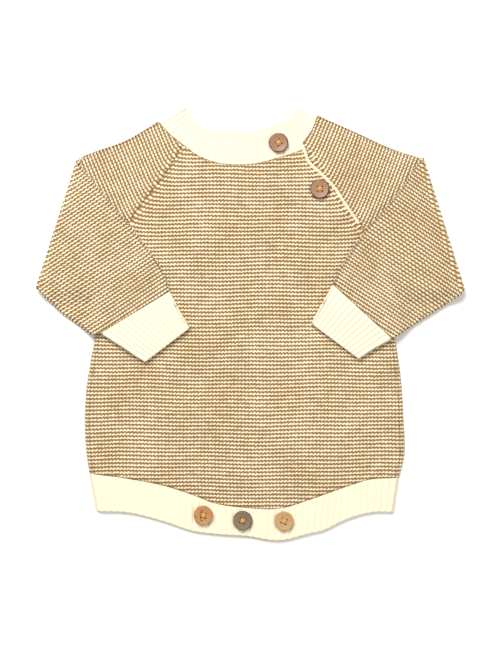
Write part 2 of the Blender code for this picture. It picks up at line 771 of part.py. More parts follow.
def main():
    for old in list(bpy.data.objects):
        bpy.data.objects.remove(old)
    root = bpy.data.objects.new("baby_romper", None)
    bpy.context.scene.collection.objects.link(root)
    make_back(root)
    make_front(root)
    for name, sizes in SLEEVES.items():
        make_sleeve(name, sizes, root)
    make_neckband(root)
    make_placket_underlap(root)
    for row in BUTTONS:
        make_button(*row, root)
    centre_outline(root)


main()
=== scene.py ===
"""Looks of a baby's knitted romper, laid flat with its sleeves folded in over the front.

Each knitted piece is a thin closed wall on its solid's form, whose face is laid in ridges or
ribs along its own rows of stitches. Sizes and tables are in millimetres, in the frame's
directions: +Y runs to the neck, +X to the wearer's left, +Z up from the surface.
"""

import enum
import logging
import math
from dataclasses import dataclass

import bmesh
import bpy
import numpy as np
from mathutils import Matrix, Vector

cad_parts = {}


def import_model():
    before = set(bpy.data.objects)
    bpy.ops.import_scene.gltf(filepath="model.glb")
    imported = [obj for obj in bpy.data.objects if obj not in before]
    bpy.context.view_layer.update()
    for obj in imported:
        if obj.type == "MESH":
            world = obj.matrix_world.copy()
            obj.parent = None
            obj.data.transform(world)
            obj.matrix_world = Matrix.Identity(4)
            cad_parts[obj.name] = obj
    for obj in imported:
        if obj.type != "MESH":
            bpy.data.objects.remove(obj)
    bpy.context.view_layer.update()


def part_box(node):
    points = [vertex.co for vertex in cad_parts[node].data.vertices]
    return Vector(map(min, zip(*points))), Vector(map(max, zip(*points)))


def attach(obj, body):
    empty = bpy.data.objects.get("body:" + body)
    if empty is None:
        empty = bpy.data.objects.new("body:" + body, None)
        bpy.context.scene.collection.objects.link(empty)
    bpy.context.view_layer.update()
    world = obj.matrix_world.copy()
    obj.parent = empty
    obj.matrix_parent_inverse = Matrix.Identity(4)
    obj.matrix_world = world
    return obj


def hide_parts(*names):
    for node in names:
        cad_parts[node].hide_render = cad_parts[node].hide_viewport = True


LOG = logging.getLogger("baby_romper")
Array = np.ndarray
Socket = bpy.types.NodeSocket

MM = 0.001
BODY = "root"
STITCH_MAP = "stitches"
SEAM_MASK = "seam"

# Cloth
WALL = 2.4
GAP = 0.3
LAYER = WALL + GAP
FRONT_TOP = WALL + LAYER
SLEEVE_BASE = FRONT_TOP + GAP
EDGE_ROUND = 1.5  # knitted edges are rounded off over this width
EDGE_LEAST = 0.3  # share of the wall that is left at the very edge

# A flat tube's edge
TURN_OUTER = FRONT_TOP / 2.0
TURN_INNER = GAP / 2.0
TURN_CELLS = 8

# The sleeves' fold
FOLD_HEIGHT = FRONT_TOP + GAP / 2.0
FOLD_RADIUS = FOLD_HEIGHT / 2.0
FOLD_LENGTH = math.pi * FOLD_RADIUS
FOLD_CELLS = 16

# Cells of the smooth forms, before the ridges are laid on them
FRONT_NECK_CELLS = 112
SHOULDER_NECK_CELLS = 18
RAGLAN_CELLS = 60
BODY_ROWS = 84
CURVE_SAMPLES = 600

# The body's sides
SIDE_OUTER = FRONT_TOP
SIDE_INNER = FRONT_TOP - WALL
SIDE_CELLS = 6
SIDE_FADE = 15.0
BACK_INSET = 5.2

# Placket
PLACKET_LENGTH = 100.0
OVERLAP_REACH = 34.0
OVERLAP_RAMP = 14.0

# Fullness above the hem band
BELLY_HEIGHT = 2.6
BELLY_MIDDLE_Y = -112.0
BELLY_HALF_LENGTH = 58.0
BELLY_HALF_WIDTH = 138.0

# Where a folded sleeve reaches past what is under it
SAG_WIDTH = 18.0
SAG_START = 15.0
SAG_CLEARANCE = 2.0

# Gauge of the knitting
YOKE_TOP = 165.0  # height up the front at which both raglan lines start
RIDGE = 3.5  # from one garter ridge to the next, on the body
SLEEVE_RIDGE = 3.15
WALE = 3.3  # from stitch to stitch
ROW_BEND = 7.0  # how softly the rows turn at a raglan line
BAND_ROW = 2.7  # from row to row of the ribbed bands
NECK_RIB = 4.9
HEM_RIB = 6.4
CUFF_RIBS = 32

NECK_FRONT = (
    # place, free x, free y, sewn x, sewn y
    ("placket", 35.2, 189.3, 50.8, 160.9),
    ("button", 27.0, 184.8, 37.0, 155.8),
    ("button side", 18.8, 179.0, 24.0, 152.0),
    ("left of middle", 10.0, 174.8, 12.0, 148.6),
    ("middle", -4.0, 173.4, -3.0, 146.8),
    ("right of middle", -18.0, 174.0, -19.0, 146.7),
    ("curve", -30.0, 176.6, -34.0, 149.2),
    ("upper curve", -40.0, 180.6, -48.0, 155.0),
    ("raglan", -48.5, 184.6, -62.0, 165.0),
)
NECK_RIGHT_SHOULDER = (
    ("raglan", -48.5, 184.6, -62.0, 165.0),
    ("middle", -54.5, 191.6, -73.0, 173.8),
    ("shoulder", -60.6, 199.7, -85.6, 187.2),
)
NECK_BACK = (
    ("right raglan", -48.5, 184.6, -62.0, 165.0),
    ("right curve", -40.0, 181.2, -48.0, 158.0),
    ("right of middle", -30.0, 178.6, -34.0, 153.0),
    ("middle", -14.0, 177.6, -14.0, 151.4),
    ("left of middle", 2.0, 178.4, 4.0, 151.8),
    ("left curve", 14.0, 180.8, 20.0, 154.4),
    ("upper curve", 25.0, 184.4, 35.0, 159.0),
    ("left raglan", 34.6, 188.8, 48.2, 166.1),
)
NECK_LEFT_SHOULDER = (
    ("raglan", 34.6, 188.8, 48.2, 166.1),
    ("middle", 38.6, 194.0, 56.8, 177.6),
    ("shoulder", 42.4, 199.9, 63.0, 193.0),
)
NECK_UNDERLAP = (
    ("raglan", 34.6, 188.8, 48.2, 166.1),
    ("edge", 26.5, 182.6, 36.5, 159.5),
    ("button", 17.5, 176.2, 25.0, 155.5),
    ("end", 9.0, 172.4, 14.0, 152.0),
)
RIGHT_RAGLAN = (
    # x, y, from the neck to the armpit
    (-62.0, 165.0),
    (-74.0, 144.0),
    (-90.0, 122.5),
    (-108.6, 98.0),
    (-122.0, 69.0),
    (-130.6, 36.0),
)
PLACKET_TOP = (
    (35.2, 189.3),
    (41.0, 182.2),
    (46.3, 172.5),
    (48.2, 166.1),
)
LEFT_RAGLAN = (
    (50.8, 160.9),
    (54.6, 150.5),
    (66.9, 138.3),
    (79.9, 124.1),
    (87.4, 112.4),
    (101.2, 92.9),
    (118.0, 64.0),
    (128.8, 36.0),
)
PLACKET_UNDERLAP = (
    # place, seam x, seam y, inner x, inner y
    ("neckband", 48.0, 165.2, 29.0, 155.8),
    ("top", 54.2, 150.4, 37.0, 137.0),
    ("button", 66.6, 138.0, 52.0, 123.4),
    ("below", 79.5, 123.9, 63.5, 111.5),
    ("end", 87.0, 112.2, 70.5, 100.5),
)
RIGHT_SIDE = (
    # x, y, from the hem to the armpit
    (-148.7, -137.7),
    (-152.2, -112.0),
    (-152.6, -72.0),
    (-149.0, -42.0),
    (-143.5, -13.0),
    (-130.6, 36.0),
)
LEFT_SIDE = (
    (137.8, -141.6),
    (142.2, -124.0),
    (142.0, -88.0),
    (138.6, -42.0),
    (134.8, -16.0),
    (128.8, 36.0),
)
HEM = (
    # place, seam x, seam y, free x, free y
    ("right side", -148.7, -137.7, -142.5, -172.6),
    ("right leg", -112.0, -142.4, -112.0, -173.8),
    ("right leg curve", -78.0, -148.8, -79.0, -182.0),
    ("right of crotch", -51.0, -157.8, -52.0, -190.8),
    ("right button", -34.0, -164.6, -32.5, -193.4),
    ("middle button", -5.0, -169.0, -3.0, -195.4),
    ("left button", 27.6, -169.8, 27.0, -199.4),
    ("left of crotch", 55.0, -161.6, 53.5, -193.4),
    ("left leg curve", 72.0, -155.4, 68.0, -189.8),
    ("left leg", 88.0, -149.6, 87.0, -180.6),
    ("left hip", 111.0, -143.0, 111.0, -173.6),
    ("left side", 137.8, -141.6, 133.4, -173.2),
)
BACK_HEM_DROP = 1.4
BACK_HEM_HALF_WIDTH = 110.0

# Sections of each sleeve and cuff: place, shoulder x, shoulder y, underarm x, underarm y
RIGHT_FOLD = ((-159.5, 153.5), (-197.8, 33.5))
RIGHT_OUT = (
    ("upper arm", -112.6, 171.0, -152.0, 35.4),
    ("before the fold", -141.0, 160.2, -179.0, 34.6),
    ("fold", -154.4, 155.2, -191.8, 33.9),
)
RIGHT_OVER = (
    ("fold", -156.9, 148.0, -193.7, 29.1),
    ("elbow", -134.0, 119.6, -176.0, 11.4),
    ("forearm", -106.7, 86.5, -160.0, -0.5),
    ("lower forearm", -94.8, 70.8, -151.5, -6.8),
    ("wrist", -78.9, 46.9, -145.4, -10.6),
    ("cuff seam", -73.6, 30.4, -138.4, -9.2),
)
RIGHT_CUFF = (
    ("cuff seam", -73.6, 30.4, -138.4, -9.2),
    ("middle", -64.5, 13.0, -117.2, -22.8),
    ("opening", -54.7, -3.3, -96.6, -35.2),
)
LEFT_FOLD = ((160.1, 153.6), (197.7, 33.6))
LEFT_OUT = (
    ("upper arm", 97.3, 177.6, 150.0, 35.4),
    ("before the fold", 133.3, 161.4, 176.0, 34.6),
    ("fold", 155.0, 154.4, 191.9, 33.9),
)
LEFT_OVER = (
    ("fold", 154.8, 150.1, 194.6, 26.2),
    ("elbow", 135.2, 120.5, 180.0, 16.6),
    ("forearm", 103.5, 83.4, 160.0, 3.9),
    ("lower forearm", 89.2, 62.8, 146.0, -5.1),
    ("wrist", 80.8, 47.6, 138.0, -10.2),
    ("cuff seam", 75.9, 36.8, 131.6, -14.3),
)
LEFT_CUFF = (
    ("cuff seam", 75.9, 36.8, 131.6, -14.3),
    ("middle", 65.4, 18.2, 116.0, -22.8),
    ("opening", 55.9, 0.6, 99.9, -32.2),
)

# Soft troughs (below zero) and swellings of the front
FRONT_FOLDS = (
    # place, x, y, half length, half width, turn in degrees, height
    ("under the right sleeve", -92.0, 42.0, 46.0, 9.0, -54.0, -0.7),
    ("right hip", -104.0, -58.0, 40.0, 13.0, 78.0, -0.8),
    ("right leg pull", -118.0, -122.0, 26.0, 7.0, 62.0, -0.9),
    ("chest", -8.0, 92.0, 58.0, 20.0, 8.0, 0.5),
    ("waist", 22.0, 12.0, 74.0, 14.0, -6.0, -0.6),
    ("middle", -30.0, -34.0, 62.0, 17.0, 5.0, 0.5),
    ("left hip", 104.0, -70.0, 52.0, 12.0, 96.0, -0.9),
    ("left leg pull", 106.0, -124.0, 24.0, 7.0, 118.0, -0.8),
    ("crotch pull", 40.0, -142.0, 22.0, 6.0, 40.0, -0.6),
    ("below the placket button", 60.0, 104.0, 20.0, 6.0, 96.0, -0.5),
    ("beside the neck button", 22.0, 138.0, 17.0, 6.0, 30.0, -0.5),
)


def numbers(table: tuple) -> Array:
    """The columns of a table without its names."""
    return np.array([row[1:] for row in table])


def unit(vector: Array) -> Array:
    """The vector at length one."""
    return vector / np.linalg.norm(vector)


def ramp(share: Array) -> Array:
    """0 to 1 with level ends."""
    share = np.clip(share, 0.0, 1.0)
    return share * share * (3.0 - 2.0 * share)


def smooth(rows: Array, count: int) -> Array:
    """Rows spaced evenly along one smooth curve.

    Args:
        rows: the rows that the curve passes through.
        count: how many steps to make along it.

    Returns:
        count + 1 rows.
    """
    rows = np.asarray(rows, float)
    steps = np.linalg.norm(np.diff(rows, axis=0), axis=1)
    marks = np.concatenate([[0.0], np.cumsum(steps)])
    slopes = np.gradient(rows, marks, axis=0)
    at = np.linspace(0.0, marks[-1], count + 1)
    cell = np.clip(np.searchsorted(marks, at, side="right") - 1, 0, len(steps) - 1)
    width = steps[cell][:, None]
    t = (at - marks[cell])[:, None] / width
    start = (1.0 + 2.0 * t) * (1.0 - t) ** 2 * rows[cell]
    start_slope = t * (1.0 - t) ** 2 * width * slopes[cell]
    end = t * t * (3.0 - 2.0 * t) * rows[cell + 1]
    end_slope = t * t * (t - 1.0) * width * slopes[cell + 1]
    return start + start_slope + end + end_slope


def at_x(rows: Array, wanted: Array) -> Array:
    """The rows of a smooth curve at the wanted values of its first column."""
    dense = smooth(rows, CURVE_SAMPLES)
    return np.stack([np.interp(wanted, dense[:, 0], column) for column in dense.T], axis=1)


def beside(path: Array, distance: float) -> Array:
    """The path moved sideways, to its left where the distance is positive."""
    along = np.gradient(path, axis=0)
    along = along / np.linalg.norm(along, axis=1)[:, None]
    return path + distance * np.stack([-along[:, 1], along[:, 0]], axis=1)


def lifted(plan: Array, height: Array | float) -> Array:
    """Plan points given a height, which is one number or one for each point."""
    return np.concatenate([plan, np.broadcast_to(height, plan.shape[:-1])[..., None]], axis=-1)


def lengths_along(points: Array) -> Array:
    """Distance along each column of points from the first row."""
    steps = np.linalg.norm(np.diff(points, axis=0), axis=-1)
    return np.concatenate([np.zeros_like(steps[:1]), np.cumsum(steps, axis=0)])


# Seams that two pieces share
NECK_SEAM_FRONT = smooth(numbers(NECK_FRONT), FRONT_NECK_CELLS)
NECK_SEAM_BACK = smooth(numbers(NECK_BACK), FRONT_NECK_CELLS)
RIGHT_SHOULDER_SEAM = smooth(numbers(NECK_RIGHT_SHOULDER), SHOULDER_NECK_CELLS)
LEFT_SHOULDER_SEAM = smooth(numbers(NECK_LEFT_SHOULDER), SHOULDER_NECK_CELLS)
RIGHT_RAGLAN_SEAM = smooth(RIGHT_RAGLAN, RAGLAN_CELLS)
LEFT_RAGLAN_SEAM = smooth(LEFT_RAGLAN, RAGLAN_CELLS)
PLACKET_EDGE = np.concatenate([np.array(PLACKET_TOP), LEFT_RAGLAN_SEAM])


def overlap_lift(plan: Array) -> Array:
    """How far the front is raised over the underlap, from the place along and off its edge."""
    flat = plan.reshape(-1, 2)
    starts = PLACKET_EDGE[:-1]
    spans = np.diff(PLACKET_EDGE, axis=0)
    lengths = np.linalg.norm(spans, axis=1)
    marks = np.concatenate([[0.0], np.cumsum(lengths)[:-1]])
    offsets = flat[:, None, :] - starts[None]
    share = np.clip((offsets * spans).sum(axis=2) / lengths**2, 0.0, 1.0)
    apart = np.linalg.norm(offsets - share[..., None] * spans, axis=2)
    nearest = apart.argmin(axis=1)
    pick = np.arange(len(flat))
    along = marks[nearest] + share[pick, nearest] * lengths[nearest]
    across_part = ramp((OVERLAP_REACH + OVERLAP_RAMP - apart[pick, nearest]) / OVERLAP_RAMP)
    along_part = ramp((PLACKET_LENGTH + OVERLAP_RAMP + GAP - along) / OVERLAP_RAMP)
    return (LAYER * across_part * along_part).reshape(plan.shape[:-1])


def belly_lift(plan: Array) -> Array:
    """The soft fullness of the front above the hem band."""
    along = np.clip(1.0 - ((plan[..., 1] - BELLY_MIDDLE_Y) / BELLY_HALF_LENGTH) ** 2, 0.0, 1.0)
    across = np.clip(1.0 - (plan[..., 0] / BELLY_HALF_WIDTH) ** 2, 0.0, 1.0)
    return BELLY_HEIGHT * ramp(along) * ramp(across)


def fold_lift(plan: Array, table: tuple) -> Array:
    """The soft troughs and swellings of a piece, from its table of folds."""
    total = np.zeros(plan.shape[:-1])
    for _, x, y, half_length, half_width, turn, height in table:
        away = plan - np.array([x, y])
        angle = math.radians(turn)
        along = away @ np.array([math.cos(angle), math.sin(angle)])
        across = away @ np.array([-math.sin(angle), math.cos(angle)])
        wave = 0.35 * half_width * np.sin(along / half_length * 2.1 + x)
        apart = (along / half_length) ** 2 + ((across - wave) / half_width) ** 2
        total += height * np.exp(-apart)
    return total


@dataclass(frozen=True)
class RowsAtRaglan:
    """The start of a raglan line at the neck, and the way that its sleeve runs."""

    x: float
    y: float
    turn: float  # degrees from +X

    def along(self) -> Array:
        """The way along the sleeve."""
        return np.array([math.cos(math.radians(self.turn)), math.sin(math.radians(self.turn))])


RIGHT_ROWS = RowsAtRaglan(-62.0, YOKE_TOP, 202.2)
LEFT_ROWS = RowsAtRaglan(48.6, YOKE_TOP, -21.6)


@dataclass(frozen=True)
class StitchField:
    """How the rows of stitches run: level on the body, across a sleeve, bent at a raglan."""

    corners: tuple[RowsAtRaglan, ...]
    ridge: float = RIDGE
    wale: float = WALE

    def read(self, plan: Array) -> tuple[Array, Array]:
        """The stitch map at points of the plan.

        Args:
            plan: points as the piece lies, with a sleeve opened out.

        Returns:
            The number of stitches along the row, and of ridges down from the neck.
        """
        x, y = plan[..., 0], plan[..., 1]
        down, stitch = YOKE_TOP - y, x
        for corner in self.corners:
            way = corner.along()
            off = plan - np.array([corner.x, corner.y])
            out = off @ way
            side = corner.x + off @ np.array([way[1], -way[0]])
            apart = out - down
            spread = np.sqrt(apart**2 + ROW_BEND**2)
            share = 0.5 * (1.0 + apart / spread)
            stitch = (1.0 - share) * stitch + share * side
            down = 0.5 * (down + out + spread)
        down = down + 0.55 * np.sin(x / 33.0 + y / 61.0) + 0.35 * np.sin(x / 13.0 - y / 37.0 + 1.3)
        stitch = stitch + 0.6 * np.sin(y / 29.0 + x / 71.0) + 0.3 * np.sin(y / 11.0 - x / 53.0)
        return stitch / self.wale, down / self.ridge


class Relief:
    """The raised pattern of a knitted face."""

    def height(self, stitch: Array, row: Array) -> Array:
        """Height over the wall's face in millimetres, for places in the stitch map."""
        return np.zeros_like(stitch)


@dataclass(frozen=True)
class GarterRelief(Relief):
    """Ridges of purl bumps, which zigzag from stitch to stitch."""

    depth: float = 0.85
    crest: float = 0.12
    zigzag: float = 0.07

    def height(self, stitch: Array, row: Array) -> Array:
        """Height of the ridges in millimetres."""
        saw = np.sin(2.0 * math.pi * stitch) - 0.5 * np.sin(4.0 * math.pi * stitch)
        ridge = 0.5 - 0.5 * np.cos(2.0 * math.pi * (row + self.zigzag * saw))
        return self.crest - self.depth * (1.0 - ridge)


@dataclass(frozen=True)
class RibRelief(Relief):
    """Raised ribs, each a column of stitches, with a recess between them."""

    depth: float = 1.25
    crest: float = 0.15
    groove: float = 0.16
    phase: float = 0.0

    def height(self, stitch: Array, row: Array) -> Array:
        """Height of the ribs in millimetres."""
        place = stitch + self.phase
        rib = (0.5 + 0.5 * np.cos(2.0 * math.pi * place)) ** 0.7
        centre = np.exp(-(((place + 0.5) % 1.0 - 0.5) / 0.07) ** 2)
        legs = 0.06 * np.cos(2.0 * math.pi * row)
        return self.crest - self.depth * (1.0 - rib) - self.groove * centre + legs * rib


@dataclass
class Cloth:
    """The smooth form of a knitted wall, as two faces of rows of points, with its stitch map.

    The row count rises all along each column from the first row of points to the last. With
    around set, each row of points is a ring.
    """

    outer: Array
    inner: Array
    stitch: Array
    row: Array
    around: bool = False

    def middle(self) -> Array:
        """Points halfway through the wall."""
        return (self.outer + self.inner) / 2.0

    def half(self) -> Array:
        """From the middle of the wall to its outer face."""
        return (self.outer - self.inner) / 2.0

    def edge_distance(self) -> Array:
        """How far each point is from the nearer of the wall's first and last rows."""
        middle = self.middle()
        from_first = lengths_along(middle)
        from_last = lengths_along(middle[::-1])[::-1]
        nearest = []
        for end, before, distance in ((0, 1, from_first), (-1, -2, from_last)):
            leaving = middle[before] - middle[end]
            edge = np.gradient(middle[end], axis=0)
            sine = np.linalg.norm(np.cross(leaving, edge), axis=1)
            sine = sine / (np.linalg.norm(leaving, axis=1) * np.linalg.norm(edge, axis=1) + 1e-9)
            nearest.append(distance * np.clip(sine, 0.35, 1.0))
        return np.minimum(*nearest)


@dataclass
class Shell:
    """A closed mesh of a knitted wall, with the stitch map at its points."""

    points: Array
    faces: list
    stitches: Array
    seam: Array


def rounded(distance: Array) -> Array:
    """The share of the wall that is left near a rounded edge."""
    inside = 1.0 - np.clip(distance / EDGE_ROUND, 0.0, 1.0)
    return np.maximum(np.sqrt(1.0 - inside**2), EDGE_LEAST)


def seam_mask(distance: Array) -> Array:
    """1 at a sewn edge, falling to 0 a little way from it; the knit's colour paints shade where it
    is high.
    """
    return 1.0 - ramp(distance / 3.2)


def grid_faces(ids: Array, around: bool) -> list:
    """Faces between the rows of a grid of point numbers, leaving out any that close up.

    Args:
        ids: point numbers, in which neighbours down a column may be one point.
        around: whether each row is a ring.

    Returns:
        Quads and triangles.
    """
    if around:
        ids = np.concatenate([ids, ids[:, :1]], axis=1)
    corners = np.stack([ids[:-1, :-1], ids[1:, :-1], ids[1:, 1:], ids[:-1, 1:]], axis=-1)
    corners = corners.reshape(-1, 4)
    left_shut = corners[:, 0] == corners[:, 1]
    right_shut = corners[:, 2] == corners[:, 3]
    quads = corners[~left_shut & ~right_shut]
    left = corners[left_shut & ~right_shut][:, [0, 2, 3]]
    right = corners[~left_shut & right_shut][:, [0, 1, 2]]
    return quads.tolist() + left.tolist() + right.tolist()


def zip_edges(first: list, first_marks: Array, second: list, second_marks: Array) -> list:
    """Triangles between two edges whose points are at different marks along them."""
    faces = []
    i, j = 0, 0
    while i < len(first) - 1 or j < len(second) - 1:
        step_first = j == len(second) - 1
        if i < len(first) - 1 and not step_first:
            step_first = first_marks[i + 1] <= second_marks[j + 1]
        if step_first:
            faces.append([first[i], first[i + 1], second[j]])
            i += 1
        else:
            faces.append([first[i], second[j + 1], second[j]])
            j += 1
    return faces


def lay_ridges(cloth: Cloth, relief: Relief, per_ridge: int, inner_rows: int) -> Shell:
    """Builds a wall whose outer face is meshed along its rows of stitches.

    Args:
        cloth: the smooth form.
        relief: the pattern that the outer face is raised in.
        per_ridge: how many rows of points one ridge has.
        inner_rows: how many steps the plain inner face is made in.

    Returns:
        The closed wall.
    """
    rows, across = cloth.row.shape
    row = np.maximum.accumulate(cloth.row + 1e-6 * np.arange(rows)[:, None], axis=0)
    middle, half, distance = cloth.middle(), cloth.half(), cloth.edge_distance()
    low, high = row[0], row[-1]
    first_line, last_line = math.floor(low.min() * per_ridge), math.ceil(high.max() * per_ridge)
    lines = np.arange(first_line, last_line + 1) / per_ridge
    margin = 0.3 / per_ridge
    inside = (lines[:, None] > low + margin) & (lines[:, None] < high - margin)
    marks = np.stack([np.interp(lines, row[:, k], np.arange(rows)) for k in range(across)], axis=1)

    count = int(inside.sum())
    first_ids = count + np.arange(across)
    last_ids = first_ids + across
    ids = np.where(lines[:, None] <= low + margin, first_ids, last_ids)
    ids[inside] = np.arange(count)
    faces = grid_faces(ids, cloth.around)

    columns = np.broadcast_to(np.arange(across), marks.shape)[inside]
    marks = np.concatenate([marks[inside], np.zeros(across), np.full(across, rows - 1.0)])
    columns = np.concatenate([columns, np.arange(across), np.arange(across)])

    def read(values: Array) -> Array:
        """Values at the outer face's points."""
        below = np.clip(np.floor(marks).astype(int), 0, rows - 2)
        share = marks - below
        share = share[:, None] if values.ndim == 3 else share
        return (1.0 - share) * values[below, columns] + share * values[below + 1, columns]

    outer_half = read(half)
    thick = np.linalg.norm(outer_half, axis=1)
    away = read(distance)
    stitches = np.stack([read(cloth.stitch), read(row)], axis=1)
    raised = relief.height(stitches[:, 0], stitches[:, 1]) * ramp(away / (EDGE_ROUND * 1.4))
    reach = (thick * rounded(away) + raised) / thick
    outer_points = read(middle) + outer_half * reach[:, None]

    kept = np.unique(np.linspace(0, rows - 1, inner_rows + 1).round().astype(int))
    inner_away = distance[kept]
    inner_points = middle[kept] - half[kept] * rounded(inner_away)[..., None]
    total = len(outer_points)
    inner_ids = total + np.arange(len(kept) * across).reshape(len(kept), across)
    faces += [face[::-1] for face in grid_faces(inner_ids, cloth.around)]
    for outer_edge, inner_edge in ((first_ids, inner_ids[0]), (last_ids, inner_ids[-1])):
        if cloth.around:
            outer_edge = np.append(outer_edge, outer_edge[0])
            inner_edge = np.append(inner_edge, inner_edge[0])
        corners = [outer_edge[:-1], outer_edge[1:], inner_edge[1:], inner_edge[:-1]]
        faces += np.stack(corners, 1).tolist()
    if not cloth.around:
        for column in (0, across - 1):
            own = ids[inside[:, column], column]
            edge = [first_ids[column], *own, last_ids[column]]
            faces += zip_edges(edge, marks[edge], list(inner_ids[:, column]), kept)

    inner_stitches = np.stack([cloth.stitch[kept], row[kept]], axis=-1).reshape(-1, 2)
    return Shell(
        points=np.concatenate([outer_points, inner_points.reshape(-1, 3)]),
        faces=faces,
        stitches=np.concatenate([stitches, inner_stitches]),
        seam=seam_mask(np.concatenate([away, inner_away.reshape(-1)])),
    )


def lay_ribs(cloth: Cloth, outer: Relief, inner: Relief, distance: Array) -> Shell:
    """Builds a ribbed wall, meshed along its ribs on both faces.

    Args:
        cloth: the smooth form, with its rows of points across the ribs' columns.
        outer: the pattern of the outer face.
        inner: the pattern of the inner face.
        distance: how far each point is from the wall's edges.

    Returns:
        The closed wall.
    """
    rows, across = cloth.row.shape
    middle, half = cloth.middle(), cloth.half()
    thick = np.linalg.norm(half, axis=-1)
    left = rounded(distance)
    fade = ramp(distance / EDGE_ROUND)
    faces, points = [], []
    for side, relief in ((1.0, outer), (-1.0, inner)):
        raised = relief.height(cloth.stitch, cloth.row) * fade
        reach = side * (thick * left + raised) / thick
        points.append((middle + half * reach[..., None]).reshape(-1, 3))
    outside = np.arange(rows * across).reshape(rows, across)
    inside = outside + rows * across
    faces += grid_faces(outside, cloth.around)
    faces += [face[::-1] for face in grid_faces(inside, cloth.around)]
    rims = [(outside[0], inside[0]), (outside[-1], inside[-1])]
    if cloth.around:
        rims = [tuple(np.append(edge, edge[0]) for edge in rim) for rim in rims]
    else:
        rims += [(outside[:, 0], inside[:, 0]), (outside[:, -1], inside[:, -1])]
    for first, second in rims:
        faces += np.stack([first[:-1], first[1:], second[1:], second[:-1]], 1).tolist()
    stitches = np.stack([cloth.stitch, cloth.row], axis=-1).reshape(-1, 2)
    shift = np.array([0.5, 0.0])
    return Shell(
        points=np.concatenate(points),
        faces=faces,
        stitches=np.concatenate([stitches, stitches + shift]),
        seam=np.tile(seam_mask(distance).reshape(-1), 2),
    )


class Slot(enum.Enum):
    """The record's material slots."""

    GARTER = "garter_knit"
    RIB = "rib_knit"
    BROWN = "button_brown"
    AMBER = "button_amber"
    GREY = "button_grey_brown"
    TAN = "button_tan"


class Bench:
    """Adds nodes to one tree and joins them, so that a recipe reads like a sum."""

    def __init__(self, tree: bpy.types.NodeTree) -> None:
        """Takes the tree to work on."""
        self.tree = tree

    def add(self, kind: str, **settings: object) -> bpy.types.Node:
        """A new node of a kind, with its settings."""
        node = self.tree.nodes.new(kind)
        for name, value in settings.items():
            setattr(node, name, value)
        return node

    def feed(self, socket: Socket, value: object) -> None:
        """Joins a socket to another, or sets it to a value."""
        if isinstance(value, bpy.types.NodeSocket):
            self.tree.links.new(value, socket)
        else:
            socket.default_value = value

    def math(self, operation: str, *values: object) -> Socket:
        """The result of a sum."""
        node = self.add("ShaderNodeMath", operation=operation)
        for socket, value in zip(node.inputs, values):
            self.feed(socket, value)
        return node.outputs[0]

    def blend(self, share: object, first: object, second: object, how: str = "MIX") -> Socket:
        """Two colours mixed."""
        node = self.add("ShaderNodeMix", data_type="RGBA", blend_type=how)
        self.feed(node.inputs[0], share)
        self.feed(node.inputs[6], first)
        self.feed(node.inputs[7], second)
        return node.outputs[2]

    def noise(self, place: Socket, scale: float, detail: float = 2.0) -> Socket:
        """Soft noise from 0 to 1 at a place."""
        node = self.add("ShaderNodeTexNoise")
        self.feed(node.inputs["Vector"], place)
        node.inputs["Scale"].default_value = scale
        node.inputs["Detail"].default_value = detail
        return node.outputs["Fac"]

    def spread(
        self, value: Socket, low: float, high: float, to_low: float, to_high: float
    ) -> Socket:
        """A value taken from one range to another, and kept inside it."""
        node = self.add("ShaderNodeMapRange", clamp=True)
        for socket, given in zip(node.inputs, (value, low, high, to_low, to_high)):
            self.feed(socket, given)
        return node.outputs[0]

    def colours(self, factor: Socket, stops: tuple) -> Socket:
        """A colour read from stops of place and colour."""
        node = self.add("ShaderNodeValToRGB")
        elements = node.color_ramp.elements
        while len(elements) < len(stops):
            elements.new(0.5)
        for element, (place, colour) in zip(elements, stops):
            element.position = place
            element.color = (*colour, 1.0)
        self.feed(node.inputs[0], factor)
        return node.outputs[0]


def new_group(name: str, inputs: tuple, outputs: tuple) -> tuple[Bench, dict, dict]:
    """A node group with named sockets.

    Args:
        name: the group's name.
        inputs: pairs of a socket's name and type.
        outputs: the same, for what it puts out.

    Returns:
        A bench on the group, its inputs and its outputs by name.
    """
    tree = bpy.data.node_groups.new(name, "ShaderNodeTree")
    for label, kind in inputs:
        tree.interface.new_socket(label, in_out="INPUT", socket_type=kind)
    for label, kind in outputs:
        tree.interface.new_socket(label, in_out="OUTPUT", socket_type=kind)
    bench = Bench(tree)
    given = bench.add("NodeGroupInput").outputs
    made = bench.add("NodeGroupOutput").inputs
    return bench, {s.name: s for s in given if s.name}, {s.name: s for s in made if s.name}


FLOAT = "NodeSocketFloat"
VECTOR = "NodeSocketVector"


